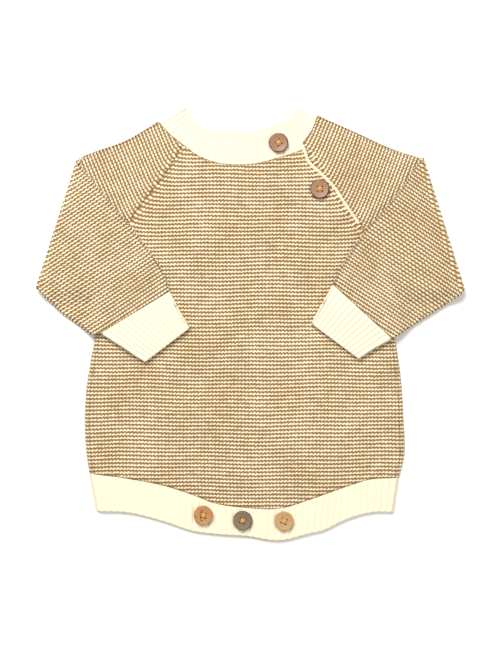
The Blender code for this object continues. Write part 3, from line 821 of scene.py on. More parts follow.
def garter_group() -> bpy.types.NodeTree:
    """Stitches of garter ridges: slanting purl bumps with a hole darkened by painted shade below
    each. Shade is painted shade in the holes and painted highlight on the bumps; Height is the
    relief.
    """
    bench, given, made = new_group(
        "garter_stitches",
        (("Stitches", VECTOR), ("Zigzag", FLOAT)),
        (("Height", FLOAT), ("Shade", FLOAT)),
    )
    parts = bench.add("ShaderNodeSeparateXYZ")
    bench.feed(parts.inputs[0], given["Stitches"])
    turn = bench.math("MULTIPLY", parts.outputs[0], 2.0 * math.pi)
    second = bench.math("SINE", bench.math("MULTIPLY", turn, 2.0))
    saw = bench.math("MULTIPLY_ADD", second, -0.5, bench.math("SINE", turn))
    shifted = bench.math("MULTIPLY_ADD", saw, given["Zigzag"], parts.outputs[1])
    wave = bench.math("COSINE", bench.math("MULTIPLY", shifted, 2.0 * math.pi))
    crest = bench.math("MULTIPLY_ADD", wave, -0.5, 0.5)
    strand = bench.math("MULTIPLY_ADD", bench.math("COSINE", turn), 0.5, 0.5)
    bump = bench.math("MULTIPLY", crest, bench.math("MULTIPLY_ADD", strand, 0.42, 0.58))
    low = bench.math("POWER", bench.math("SUBTRACT", 1.0, crest), 1.6)
    hole = bench.math("MULTIPLY", low, bench.math("SUBTRACT", 1.0, strand))
    bench.feed(made["Height"], bench.math("MULTIPLY_ADD", hole, -0.5, bump))
    # Painted shade: the holes below the bumps are darkened, and the bumps' crests are lightened as
    # painted highlight.
    bench.feed(made["Shade"], bench.math("MULTIPLY_ADD", hole, -0.55, bump))
    return bench.tree


def rib_group() -> bpy.types.NodeTree:
    """Stitches of a rib: two leaning strands to a column, with dots of painted shade between them.
    Shade also paints shade into the recess between ribs and highlight onto the strands.
    """
    bench, given, made = new_group(
        "rib_stitches",
        (("Stitches", VECTOR), ("Lean", FLOAT)),
        (("Height", FLOAT), ("Shade", FLOAT)),
    )
    parts = bench.add("ShaderNodeSeparateXYZ")
    bench.feed(parts.inputs[0], given["Stitches"])
    whole = bench.math("FRACT", bench.math("ADD", parts.outputs[0], 0.5))
    off = bench.math("ABSOLUTE", bench.math("SUBTRACT", whole, 0.5))
    rib = bench.math("COSINE", bench.math("MULTIPLY", off, 2.0 * math.pi))
    rib = bench.math("MULTIPLY_ADD", rib, 0.5, 0.5)
    leaning = bench.math("MULTIPLY_ADD", off, given["Lean"], parts.outputs[1])
    legs = bench.math("COSINE", bench.math("MULTIPLY", leaning, 2.0 * math.pi))
    legs = bench.math("MULTIPLY_ADD", legs, 0.5, 0.5)
    centre = bench.spread(off, 0.0, 0.10, 1.0, 0.0)
    dots = bench.math("MULTIPLY", centre, bench.math("SUBTRACT", 1.0, legs))
    strands = bench.math("MULTIPLY", rib, bench.math("MULTIPLY_ADD", legs, 0.22, 0.78))
    bench.feed(made["Height"], bench.math("MULTIPLY_ADD", dots, -0.35, strands))
    # Painted shade: dark dots between the strands and a dark recess between the ribs, with painted
    # highlight on the strands.
    bench.feed(made["Shade"], bench.math("MULTIPLY_ADD", dots, -0.42, strands))
    return bench.tree


def yarn_group() -> bpy.types.NodeTree:
    """Loose yarn: fine fuzz, uneven brightness, and a wobble of the stitches."""
    bench, given, made = new_group(
        "loose_yarn",
        (("Place", VECTOR), ("Wobble", FLOAT)),
        (("Fuzz", FLOAT), ("Patches", FLOAT), ("Shift", VECTOR)),
    )
    fine = bench.noise(given["Place"], 1500.0, 3.0)
    coarse = bench.noise(given["Place"], 420.0, 2.0)
    coarse_part = bench.math("MULTIPLY", coarse, 0.4)
    bench.feed(made["Fuzz"], bench.math("MULTIPLY_ADD", fine, 0.6, coarse_part))
    small = bench.noise(given["Place"], 150.0, 2.0)
    wide = bench.noise(given["Place"], 26.0, 2.0)
    wide_part = bench.math("MULTIPLY", wide, 0.45)
    bench.feed(made["Patches"], bench.math("MULTIPLY_ADD", small, 0.55, wide_part))
    drift = bench.add("ShaderNodeTexNoise")
    bench.feed(drift.inputs["Vector"], given["Place"])
    drift.inputs["Scale"].default_value = 230.0
    centred = bench.add("ShaderNodeVectorMath", operation="SUBTRACT")
    bench.feed(centred.inputs[0], drift.outputs["Color"])
    centred.inputs[1].default_value = (0.5, 0.5, 0.5)
    scaled = bench.add("ShaderNodeVectorMath", operation="SCALE")
    bench.feed(scaled.inputs[0], centred.outputs[0])
    bench.feed(scaled.inputs["Scale"], given["Wobble"])
    bench.feed(made["Shift"], scaled.outputs[0])
    return bench.tree


def grain_group() -> bpy.types.NodeTree:
    """Fine wood grain with a few darker specks."""
    bench, given, made = new_group(
        "wood_grain",
        (("Place", VECTOR),),
        (("Grain", FLOAT), ("Specks", FLOAT)),
    )
    wave = bench.add("ShaderNodeTexWave", wave_type="BANDS", bands_direction="Y")
    bench.feed(wave.inputs["Vector"], given["Place"])
    wave.inputs["Scale"].default_value = 170.0
    wave.inputs["Distortion"].default_value = 7.0
    wave.inputs["Detail"].default_value = 3.0
    fine = bench.noise(given["Place"], 900.0, 3.0)
    fine_part = bench.math("MULTIPLY", fine, 0.45)
    grain = bench.math("MULTIPLY_ADD", wave.outputs["Fac"], 0.55, fine_part)
    bench.feed(made["Grain"], grain)
    specks = bench.noise(given["Place"], 260.0, 2.0)
    bench.feed(made["Specks"], bench.spread(specks, 0.56, 0.68, 0.0, 1.0))
    return bench.tree


def new_material(name: str) -> tuple[Bench, bpy.types.Node]:
    """A node material, as a bench on its tree and its shader."""
    material = bpy.data.materials.new(name)
    material.use_nodes = True
    return Bench(material.node_tree), material.node_tree.nodes["Principled BSDF"]


Colour = tuple[float, float, float]


@dataclass(frozen=True)
class KnitFinish:
    """Undyed cotton knitting: colours from painted shade in the recesses, through the cotton's own
    colour, up to painted highlight on the crests, and its relief.
    """

    name: str
    group: str
    setting: float  # the group's own setting: zigzag of the ridges, or lean of the strands
    # recess and shade: painted shade for the holes and recesses; body: the cotton's own colour;
    # crest: painted highlight on the crests
    recess: Colour = (0.27, 0.15, 0.055)
    shade: Colour = (0.47, 0.33, 0.17)
    body: Colour = (0.72, 0.60, 0.39)
    crest: Colour = (0.92, 0.85, 0.68)
    wobble: float = 0.34
    relief: float = 0.75  # millimetres
    strength: float = 0.8

    def material(self) -> bpy.types.Material:
        """Makes the finish as a material."""
        bench, shader = new_material(self.name)
        place = bench.add("ShaderNodeTexCoord").outputs["Object"]
        chart = bench.add("ShaderNodeUVMap", uv_map=STITCH_MAP).outputs[0]
        yarn = bench.add("ShaderNodeGroup", node_tree=bpy.data.node_groups["loose_yarn"])
        bench.feed(yarn.inputs["Place"], place)
        yarn.inputs["Wobble"].default_value = self.wobble
        moved = bench.add("ShaderNodeVectorMath", operation="ADD")
        bench.feed(moved.inputs[0], chart)
        bench.feed(moved.inputs[1], yarn.outputs["Shift"])
        stitches = bench.add("ShaderNodeGroup", node_tree=bpy.data.node_groups[self.group])
        bench.feed(stitches.inputs["Stitches"], moved.outputs[0])
        stitches.inputs[1].default_value = self.setting

        tone = bench.math("MULTIPLY_ADD", yarn.outputs["Fuzz"], 0.5, -0.25)
        uneven = bench.math("MULTIPLY_ADD", yarn.outputs["Patches"], 0.9, -0.45)
        tone = bench.math("ADD", tone, uneven)
        tone = bench.math("ADD", tone, stitches.outputs["Shade"])
        # Painted shade along the seams and edges, broken up by the yarn's fuzz.
        seam = bench.add("ShaderNodeAttribute", attribute_name=SEAM_MASK).outputs["Fac"]
        loose = bench.spread(yarn.outputs["Fuzz"], 0.35, 0.62, 0.55, 0.0)
        seam_shade = bench.math("MULTIPLY", seam, loose)
        tone = bench.math("SUBTRACT", tone, seam_shade)
        # The ramp paints shade into the recesses and highlight onto the crests, following the Shade
        # of the stitches.
        tint = bench.colours(
            tone,
            ((0.0, self.recess), (0.28, self.shade), (0.58, self.body), (0.95, self.crest)),
        )
        bench.feed(shader.inputs["Base Color"], tint)
        shader.inputs["Roughness"].default_value = 0.92
        shader.inputs["Specular IOR Level"].default_value = 0.25
        shader.inputs["Sheen Weight"].default_value = 0.22
        shader.inputs["Sheen Roughness"].default_value = 0.45
        shader.inputs["Sheen Tint"].default_value = (1.0, 0.96, 0.86, 1.0)

        bump = bench.add("ShaderNodeBump")
        bump.inputs["Strength"].default_value = self.strength
        bump.inputs["Distance"].default_value = self.relief * MM
        height = bench.math("MULTIPLY_ADD", yarn.outputs["Fuzz"], 0.35, stitches.outputs["Height"])
        bench.feed(bump.inputs["Height"], height)
        bench.feed(shader.inputs["Normal"], bump.outputs[0])
        return bpy.data.materials[self.name]


@dataclass(frozen=True)
class WoodFinish:
    """Turned wood with a bark rim, centred on its button."""

    name: str
    centre: tuple[float, float]
    turn: float
    face: Colour
    dark: Colour
    bark: Colour
    bark_from: float  # radius in millimetres at which the bark starts
    specks: float

    def material(self) -> bpy.types.Material:
        """Makes the finish as a material."""
        bench, shader = new_material(self.name)
        place = bench.add("ShaderNodeTexCoord").outputs["Object"]
        centred = bench.add("ShaderNodeMapping", vector_type="TEXTURE")
        bench.feed(centred.inputs["Vector"], place)
        centred.inputs["Location"].default_value = (self.centre[0] * MM, self.centre[1] * MM, 0.0)
        centred.inputs["Rotation"].default_value = (0.0, 0.0, math.radians(self.turn))
        grain = bench.add("ShaderNodeGroup", node_tree=bpy.data.node_groups["wood_grain"])
        bench.feed(grain.inputs["Place"], centred.outputs[0])
        flat = bench.add("ShaderNodeVectorMath", operation="MULTIPLY")
        bench.feed(flat.inputs[0], centred.outputs[0])
        flat.inputs[1].default_value = (1.0, 1.0, 0.0)
        radius = bench.add("ShaderNodeVectorMath", operation="LENGTH")
        bench.feed(radius.inputs[0], flat.outputs[0])
        ragged = bench.noise(flat.outputs[0], 170.0, 3.0)
        inset = bench.math("SUBTRACT", radius.outputs["Value"], 1.2 * MM)
        reach = bench.math("MULTIPLY_ADD", ragged, 2.4 * MM, inset)
        bark = bench.spread(reach, self.bark_from * MM, (self.bark_from + 0.5) * MM, 0.0, 1.0)
        face = bench.blend(grain.outputs["Grain"], (*self.dark, 1.0), (*self.face, 1.0))
        speck = bench.math("MULTIPLY", grain.outputs["Specks"], self.specks)
        face = bench.blend(speck, face, (*self.bark, 1.0))
        bench.feed(shader.inputs["Base Color"], bench.blend(bark, face, (*self.bark, 1.0)))
        polish = bench.spread(grain.outputs["Grain"], 0.0, 1.0, 0.55, 0.38)
        bench.feed(shader.inputs["Roughness"], polish)
        shader.inputs["Coat Roughness"].default_value = 0.3
        shader.inputs["Coat Weight"].default_value = 0.15
        bump = bench.add("ShaderNodeBump")
        bump.inputs["Strength"].default_value = 0.5
        bump.inputs["Distance"].default_value = 0.2 * MM
        height = bench.math("MULTIPLY_ADD", bark, -0.8, grain.outputs["Grain"])
        bench.feed(bump.inputs["Height"], height)
        bench.feed(shader.inputs["Normal"], bump.outputs[0])
        return bpy.data.materials[self.name]


@dataclass(frozen=True)
class ThreadFinish:
    """Tan sewing thread."""

    name: str = "tan_thread"
    colour: Colour = (0.50, 0.27, 0.09)

    def material(self) -> bpy.types.Material:
        """Makes the finish as a material."""
        bench, shader = new_material(self.name)
        place = bench.add("ShaderNodeTexCoord").outputs["Object"]
        twist = bench.noise(place, 2600.0, 2.0)
        pale = tuple(min(1.0, 1.7 * value) for value in self.colour)
        tint = bench.blend(twist, (*self.colour, 1.0), (*pale, 1.0))
        bench.feed(shader.inputs["Base Color"], tint)
        shader.inputs["Roughness"].default_value = 0.7
        return bpy.data.materials[self.name]


def deselect() -> None:
    """Leaves nothing selected."""
    bpy.ops.object.select_all(action="DESELECT")


def place_shift() -> Array:
    """How far the frame's origin is from that of the tables here, from the placket button."""
    low, high = (np.array(corner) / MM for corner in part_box("button_placket"))
    return ((low + high) / 2.0 - np.array([*BUTTONS[1].centre, 0.0])) * np.array([1.0, 1.0, 0.0])


def knitted(
    name: str, shell: Shell, material: bpy.types.Material, slot: Slot, *nodes: str
) -> bpy.types.Object:
    """Makes a knitted piece from its shell and puts it in the frame.

    Args:
        name: the piece's name.
        shell: its closed mesh, in millimetres.
        material: its finish.
        slot: the record's slot that the finish belongs to; not used.
        nodes: the CAD nodes that it stands for.

    Returns:
        The piece.
    """
    mesh = bpy.data.meshes.new(name)
    mesh.from_pydata(((shell.points + place_shift()) * MM).tolist(), [], shell.faces)
    shape = bmesh.new()
    shape.from_mesh(mesh)
    bmesh.ops.recalc_face_normals(shape, faces=shape.faces)
    shape.to_mesh(mesh)
    shape.free()
    corners = np.empty(len(mesh.loops), np.int32)
    mesh.loops.foreach_get("vertex_index", corners)
    starts = np.empty(len(mesh.polygons), np.int32)
    totals = np.empty(len(mesh.polygons), np.int32)
    mesh.polygons.foreach_get("loop_start", starts)
    mesh.polygons.foreach_get("loop_total", totals)
    chart = shell.stitches[corners]
    jump = chart[:, 0] - np.repeat(chart[starts, 0], totals)
    chart[:, 0] -= np.where(np.abs(jump) > 2.0, np.round(jump), 0.0)
    layer = mesh.uv_layers.new(name=STITCH_MAP)
    layer.uv.foreach_set("vector", chart.astype(np.float32).ravel())
    mask = mesh.attributes.new(SEAM_MASK, "FLOAT", "POINT")
    mask.data.foreach_set("value", shell.seam.astype(np.float32))
    mesh.shade_smooth()
    mesh.materials.append(material)
    piece = bpy.data.objects.new(name, mesh)
    bpy.context.scene.collection.objects.link(piece)
    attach(piece, BODY)
    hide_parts(*nodes)
    LOG.info("%s: %d faces", name, len(mesh.polygons))
    return piece


def patch(bottom: Array, top: Array, left: Array, right: Array) -> Array:
    """A plan grid between four edges, whose columns stand nearly upright."""
    across = ((top[:, 0] - top[0, 0]) / (top[-1, 0] - top[0, 0]))[None, :, None]
    up = np.linspace(0.0, 1.0, len(left))[:, None, None]
    between = (1.0 - up) * bottom[None] + up * top[None]
    sides = (1.0 - across) * left[:, None] + across * right[:, None]
    low = (1.0 - across) * bottom[0] + across * bottom[-1]
    high = (1.0 - across) * top[0] + across * top[-1]
    return between + sides - (1.0 - up) * low - up * high


class BodySide:
    """One side seam of the body: its outline, the way inwards and how far it turns down."""

    def __init__(self, outline: tuple, raglan: Array, inwards: float) -> None:
        """Works out the side from its outline.

        Args:
            outline: its points, from the hem to the armpit.
            raglan: the raglan seam that ends at its armpit.
            inwards: 1 or -1, the way along X to the middle of the body.
        """
        self.outline = smooth(outline, BODY_ROWS)
        self.sign = inwards
        self.turned = ramp((self.outline[-1, 1] - self.outline[:, 1]) / SIDE_FADE)
        level = np.array([inwards, 0.0])
        up_raglan = unit(raglan[-2] - raglan[-1])
        ways = self.turned[:, None] * level + (1.0 - self.turned)[:, None] * up_raglan
        self.inwards = ways / np.linalg.norm(ways, axis=1)[:, None]

    def inset(self, distance: Array | float) -> Array:
        """The outline moved inwards by a distance, one number or one for each row."""
        return self.outline + np.reshape(distance, (-1, 1)) * self.inwards

    def turn(self, radius: float) -> list[Array]:
        """Columns of points from the rim on the surface up to the top of the turn."""
        columns = []
        for cell in range(SIDE_CELLS):
            angle = math.pi / 2.0 * cell / SIDE_CELLS
            flat_in = SIDE_OUTER * cell / SIDE_CELLS
            round_in = SIDE_OUTER - radius * math.cos(angle)
            reach = self.turned * round_in + (1.0 - self.turned) * flat_in
            height = self.turned * radius * math.sin(angle) + (1.0 - self.turned) * radius
            columns.append(lifted(self.inset(reach), height))
        return columns

    def extra(self) -> list[Array]:
        """How much longer the cloth is than its plan, at each column of the turn."""
        found = []
        for cell in range(SIDE_CELLS):
            angle = math.pi / 2.0 * cell / SIDE_CELLS
            longer = SIDE_OUTER * (math.pi / 2.0 - angle - math.cos(angle))
            found.append(-self.sign * longer * self.turned)
        return found


def body_grid(top: Array, sides: tuple[BodySide, BodySide], inset: float) -> tuple[Array, Array]:
    """A panel's plan.

    Args:
        top: its upper outline, from the wearer's right to left.
        sides: its two sides.
        inset: how far inside the sides it ends.

    Returns:
        Its grid, and its points on the hem seam with the band's free edge beside them.
    """
    right, left = (side.inset(inset) for side in sides)
    top = top.copy()
    top[0] = right[-1]
    top[-1] = left[-1]
    share = (top[:, 0] - top[0, 0]) / (top[-1, 0] - top[0, 0])
    hem = at_x(numbers(HEM), right[0, 0] + share * (left[0, 0] - right[0, 0]))
    right[0] = hem[0, :2]
    left[0] = hem[-1, :2]
    return patch(hem[:, :2], top, right, left), hem


def across_band(seam: Array, free: Array, shares: Array) -> Array:
    """Rows of points across a band, from just clear of its seam to its free edge."""
    start = seam + GAP * (free - seam) / np.linalg.norm(free - seam, axis=1)[:, None]
    shares = shares[None, :, None]
    return (1.0 - shares) * start[:, None] + shares * free[:, None]


def band_shares(width: float) -> Array:
    """Places across a band, close together at its rounded edges."""
    edge = np.array([0.0, 0.35, 0.8, 1.4, 2.2])
    inner = np.linspace(3.2, width - 3.2, max(3, round((width - 6.4) / 0.9)))
    return np.concatenate([edge, inner, width - edge[::-1]]) / width


@dataclass
class Body:
    """The front and back panels, in garter stitch."""

    per_ridge: int = 5
    inner_rows: int = 30
    back_per_ridge: int = 3

    def sides(self) -> tuple[BodySide, BodySide]:
        """The two side seams."""
        return (
            BodySide(RIGHT_SIDE, RIGHT_RAGLAN_SEAM, 1.0),
            BodySide(LEFT_SIDE, LEFT_RAGLAN_SEAM, -1.0),
        )

    def build_front(self, material: bpy.types.Material) -> bpy.types.Object:
        """The front panel, whose sides turn down to the surface."""
        sides = self.sides()
        neck = NECK_SEAM_FRONT[::-1, 2:]
        top = np.concatenate([RIGHT_RAGLAN_SEAM[::-1], neck[1:-1], LEFT_RAGLAN_SEAM])
        plan, _ = body_grid(top, sides, SIDE_OUTER)
        lift = overlap_lift(plan) + belly_lift(plan)
        folds = fold_lift(plan, FRONT_FOLDS)
        skins = []
        for radius in (SIDE_OUTER, SIDE_INNER):
            middle = lifted(plan, radius + lift + np.minimum(folds, 0.6))
            columns = sides[0].turn(radius)
            columns += [middle[:, column] for column in range(middle.shape[1])]
            columns += sides[1].turn(radius)[::-1]
            skins.append(np.stack(columns, axis=1)[::-1])
        field = StitchField((RIGHT_ROWS, LEFT_ROWS))
        stitch, row = field.read(skins[0][..., :2])
        level = [np.zeros(BODY_ROWS + 1)] * plan.shape[1]
        extra = sides[0].extra() + level + sides[1].extra()[::-1]
        stitch = stitch + np.stack(extra, axis=1)[::-1] / WALE
        cloth = Cloth(skins[0], skins[1], stitch, row)
        shell = lay_ridges(cloth, GarterRelief(), self.per_ridge, self.inner_rows)
        piece = knitted("front_knit", shell, material, Slot.GARTER, "front_panel")
        return piece

    def build_back(self, material: bpy.types.Material) -> bpy.types.Object:
        """The back panel, flat on the surface, with its right side down."""
        neck = NECK_SEAM_BACK[:, 2:]
        top = np.concatenate([RIGHT_RAGLAN_SEAM[::-1], neck[1:], LEFT_RAGLAN_SEAM])
        plan, _ = body_grid(top, self.sides(), BACK_INSET)
        plan = plan[::-1]
        stitch, row = StitchField((RIGHT_ROWS, LEFT_ROWS)).read(plan)
        cloth = Cloth(lifted(plan, 0.0), lifted(plan, WALL), stitch, row)
        relief = GarterRelief(crest=0.0)
        shell = lay_ridges(cloth, relief, self.back_per_ridge, self.inner_rows)
        piece = knitted("back_knit", shell, material, Slot.GARTER, "back_panel")
        return piece


def half_turn(edge: Array, inwards: Array, radius: float) -> Array:
    """Points round the edge of a flat tube, from the lower layer to the upper one."""
    angles = np.linspace(-math.pi / 2.0, math.pi / 2.0, TURN_CELLS + 1)
    centre = edge + TURN_OUTER * inwards
    plan = centre - radius * np.cos(angles)[:, None] * inwards
    return lifted(plan, TURN_OUTER + radius * np.sin(angles))


def tube_ring(path: Array, radius: float) -> Array:
    """A ring round a flat tube, whose upper and lower layers follow the path between its edges."""
    first = half_turn(path[0], unit(path[1] - path[0]), radius)
    last = half_turn(path[-1], unit(path[-2] - path[-1]), radius)
    upper = lifted(path[1:-1], TURN_OUTER + radius)
    lower = lifted(path[1:-1], TURN_OUTER - radius)
    return np.concatenate([first, upper, last[::-1], lower[::-1]])


def tube_chart(path: Array, field: StitchField) -> tuple[Array, Array]:
    """The stitch map round a flat tube, running on over its shoulder edge to the lower layer."""
    arc = TURN_OUTER * np.linspace(math.pi, 0.0, TURN_CELLS + 1) / field.wale
    first_end = path[0] + TURN_OUTER * unit(path[1] - path[0])
    last_end = path[-1] + TURN_OUTER * unit(path[-2] - path[-1])
    ends = np.array([first_end, last_end])
    turn_stitch, turn_row = field.read(ends)
    stitch, row = field.read(path[1:-1])
    out = np.sign(stitch[0] - stitch[len(stitch) // 2])
    over = turn_stitch[0] + out * arc
    folded_on = 2.0 * turn_stitch[0] + out * arc[0]
    under_top = turn_stitch[1] - out * arc[::-1]
    under_low = folded_on - turn_stitch[1] + out * arc
    half = (TURN_CELLS + 1) // 2
    under = np.concatenate([under_top[:half], under_low[half:]])
    stitches = np.concatenate([over, stitch, under, (folded_on - stitch)[::-1]])
    first_row = np.full(TURN_CELLS + 1, turn_row[0])
    last_row = np.full(TURN_CELLS + 1, turn_row[1])
    return stitches, np.concatenate([first_row, row, last_row, row[::-1]])


class SleeveFold:
    """The line that a sleeve is folded about, and the way over it."""

    def __init__(self, corner: tuple, elbow: tuple) -> None:
        """Takes the line's two ends."""
        along = unit(np.subtract(elbow, corner))
        self.outwards = np.array([along[1], -along[0]])
        if self.outwards[0] * corner[0] < 0.0:
            self.outwards = -self.outwards
        self.start = np.array(corner) - FOLD_HEIGHT * self.outwards

    def past(self, plan: Array) -> Array:
        """How far past the fold line points are."""
        return (plan - self.start) @ self.outwards

    def onto_line(self, plan: Array) -> Array:
        """Points moved straight onto the fold line."""
        return plan - self.past(plan)[..., None] * self.outwards

    def opened(self, plan: Array) -> Array:
        """Where points that lie folded over would be if the sleeve were opened out."""
        return plan + (FOLD_LENGTH - 2.0 * self.past(plan))[..., None] * self.outwards

    def folded(self, points: Array) -> Array:
        """Points of the opened sleeve, with their heights, folded over."""
        plan, height = points[..., :2], points[..., 2]
        past = self.past(plan)
        reach = FOLD_HEIGHT - height
        angle = np.clip(past / FOLD_RADIUS, 0.0, math.pi)
        beyond = np.maximum(past - FOLD_LENGTH, 0.0)
        turned = reach * np.sin(angle) - beyond - np.maximum(past, 0.0)
        new_plan = plan + turned[..., None] * self.outwards
        new_height = np.where(past > 0.0, FOLD_HEIGHT - reach * np.cos(angle), height)
        return lifted(new_plan, new_height)


@dataclass
class Sleeve:
    """A sleeve and its cuff: flat tubes, folded over the front along a slanting line."""

    side: str
    fold_line: tuple
    out: tuple
    over: tuple
    cuff: tuple
    shoulder: Array
    raglan: Array
    body_side: tuple
    rows: RowsAtRaglan
    out_cells: int = 34
    over_cells: int = 60
    cuff_cells: int = 40
    cuff_across: int = 150
    per_ridge: int = 5
    inner_rows: int = 44

    def start(self) -> Array:
        """The sleeve's edge along the neckband and the raglan line, from shoulder to armpit."""
        neck = self.shoulder[::-1, 2:]
        if self.side == "right":
            return np.concatenate([neck[:-1], beside(self.raglan, -GAP)])
        return np.concatenate([neck[:-1], beside(np.concatenate([neck[-1:], self.raglan]), GAP)])

    def sag(self, plan: Array) -> Array:
        """How far the folded sleeve sinks where it reaches past the body and its own first half."""
        side_line = np.array(self.body_side)
        side = np.interp(plan[..., 1], side_line[:, 1], side_line[:, 0])
        past_side = np.abs(plan[..., 0]) - np.abs(side)
        under_arm = side_line[-1, 1] - SAG_CLEARANCE - plan[..., 1]
        return SLEEVE_BASE * ramp(np.minimum(past_side, under_arm) / SAG_WIDTH)

    def paths(self, fold: SleeveFold) -> list[Array]:
        """Lines across the opened sleeve, from the raglan to the cuff seam."""
        start = self.start()
        steps = np.linalg.norm(np.diff(start, axis=0), axis=1)
        shares = (np.concatenate([[0.0], np.cumsum(steps)]) / steps.sum())[:, None]
        bulge = start - ((1.0 - shares) * start[0] + shares * start[-1])
        ends = np.concatenate([start[0], start[-1]])
        out = smooth(np.concatenate([[ends], numbers(self.out)]), self.out_cells)
        over = smooth(numbers(self.over), self.over_cells)
        near = fold.onto_line(out[-1].reshape(2, 2))
        far = fold.opened(fold.onto_line(over[0].reshape(2, 2)))
        found = []
        for number, row in enumerate(out[:-1]):
            fade = 1.0 - number / self.out_cells
            found.append((1.0 - shares) * row[:2] + shares * row[2:] + fade * bulge)
        for cell in range(FOLD_CELLS + 1):
            shoulder, underarm = near + (far - near) * cell / FOLD_CELLS
            found.append((1.0 - shares) * shoulder + shares * underarm)
        for row in over[1:]:
            shoulder, underarm = fold.opened(row.reshape(2, 2))
            found.append((1.0 - shares) * shoulder + shares * underarm)
        return found

    def build(self, material: bpy.types.Material) -> bpy.types.Object:
        """The sleeve, from the raglan line to the cuff seam."""
        fold = SleeveFold(*self.fold_line)
        paths = self.paths(fold)
        skins = []
        for radius in (TURN_OUTER, TURN_INNER):
            flat = np.array([tube_ring(path, radius) for path in paths])
            shape = fold.folded(flat)
            onset = ramp((fold.past(flat[..., :2]) - FOLD_LENGTH) / SAG_START)
            shape[..., 2] -= onset * self.sag(shape[..., :2])
            skins.append(shape)
        field = StitchField((self.rows,), SLEEVE_RIDGE)
        charts = [tube_chart(path, field) for path in paths]
        stitch = np.array([chart[0] for chart in charts])
        row = np.array([chart[1] for chart in charts])
        cloth = Cloth(skins[0], skins[1], stitch, row, around=True)
        relief = GarterRelief(crest=0.0)
        shell = lay_ridges(cloth, relief, self.per_ridge, self.inner_rows)
        node = f"sleeve_{self.side}"
        piece = knitted(f"{node}_knit", shell, material, Slot.GARTER, node)
        return piece

    def build_cuff(self, material: bpy.types.Material) -> bpy.types.Object:
        """The cuff, with ribs all round it that run from the seam to the opening."""
        rows = smooth(numbers(self.cuff), self.cuff_cells)
        down = unit((rows[1] - rows[0]).reshape(2, 2).mean(axis=0))
        rows[0] += GAP * np.tile(down, 2)
        shares = np.linspace(0.0, 1.0, self.cuff_across)[:, None]
        skins = []
        for radius in (TURN_OUTER, TURN_INNER):
            paths = [(1.0 - shares) * row[:2] + shares * row[2:] for row in rows]
            shape = np.array([tube_ring(path, radius) for path in paths])
            shape[..., 2] += SLEEVE_BASE - self.sag(shape[..., :2])
            skins.append(shape)
        ring = np.concatenate([skins[0], skins[0][:, :1]], axis=1)
        round_it = lengths_along(ring.transpose(1, 0, 2)).T
        stitch = CUFF_RIBS * round_it[:, :-1] / round_it[:, -1:]
        row = lengths_along(skins[0]) / BAND_ROW
        cloth = Cloth(skins[0], skins[1], stitch, row, around=True)
        relief = RibRelief(depth=1.15, crest=0.0)
        inner = RibRelief(depth=0.0, crest=0.0, groove=0.0)
        shell = lay_ribs(cloth, relief, inner, cloth.edge_distance())
        node = f"cuff_{self.side}"
        piece = knitted(f"{node}_knit", shell, material, Slot.RIB, node)
        return piece


@dataclass
class Neckband:
    """One ribbed strip: from the placket round the front, the shoulders and the back, and on
    under the front as far as its button."""

    width: float = 27.0
    underlap_cells: int = 50

    def stations(self, radius: float, shares: Array) -> Array:
        """Points of one face of the band: a row for each place along it."""
        found = []
        front = across_band(NECK_FINE_FRONT[:, 2:], NECK_FINE_FRONT[:, :2], shares)
        found += list(lifted(front, TURN_OUTER + radius + overlap_lift(front)))
        found += self.round_shoulder(NECK_FINE_RIGHT, radius, True, shares)
        back = across_band(NECK_FINE_BACK[:, 2:], NECK_FINE_BACK[:, :2], shares)
        found += list(lifted(back[1:-1], TURN_OUTER - radius))
        found += self.round_shoulder(NECK_FINE_LEFT, radius, False, shares)
        underlap = smooth(numbers(NECK_UNDERLAP), self.underlap_cells)
        under = across_band(underlap[1:, 2:], underlap[1:, :2], shares)
        found += list(lifted(under, TURN_OUTER + radius))
        return np.array(found)

    def round_shoulder(
        self, seam: Array, radius: float, downwards: bool, shares: Array
    ) -> list[Array]:
        """The band from the raglan to the shoulder on one layer, round, and back on the other."""
        plan = across_band(seam[:, 2:], seam[:, :2], shares)
        corners = zip(plan[-3], plan[-1])
        turns = [half_turn(edge, unit(before - edge), radius) for before, edge in corners]
        edge = np.stack(turns, axis=1)
        reach = TURN_OUTER / 2.0
        apart = np.linalg.norm(plan - plan[-1], axis=2).min(axis=1)
        kept = [k for k in range(len(plan)) if apart[k] > reach]
        upper = lifted(plan[kept], TURN_OUTER + radius)
        lower = lifted(plan[kept], TURN_OUTER - radius)
        if downwards:
            return [*upper[1:], *edge[::-1], *lower[::-1]]
        return [*lower, *edge, *upper[::-1]]

    def build(self, material: bpy.types.Material) -> bpy.types.Object:
        """The whole band."""
        shares = band_shares(self.width)
        outer, inner = (self.stations(radius, shares) for radius in (TURN_OUTER, TURN_INNER))
        line = outer[:, outer.shape[1] // 2]
        along = lengths_along(line)
        stitch = np.repeat((along / NECK_RIB)[:, None], outer.shape[1], axis=1)
        width = lengths_along(outer.transpose(1, 0, 2)).T
        cloth = Cloth(outer, inner, stitch, width / BAND_ROW)
        across = np.minimum(width, width[:, -1:] - width)
        ends = np.minimum(along, along[-1] - along)[:, None]
        distance = np.minimum(across, ends)
        shell = lay_ribs(cloth, RibRelief(), RibRelief(crest=0.0, phase=0.5), distance)
        piece = knitted("neckband_knit", shell, material, Slot.RIB, "neckband")
        return piece


NECK_FINE_FRONT = smooth(numbers(NECK_FRONT), 190)
NECK_FINE_BACK = smooth(numbers(NECK_BACK), 150)
NECK_FINE_RIGHT = smooth(numbers(NECK_RIGHT_SHOULDER), 44)
NECK_FINE_LEFT = smooth(numbers(NECK_LEFT_SHOULDER), 44)


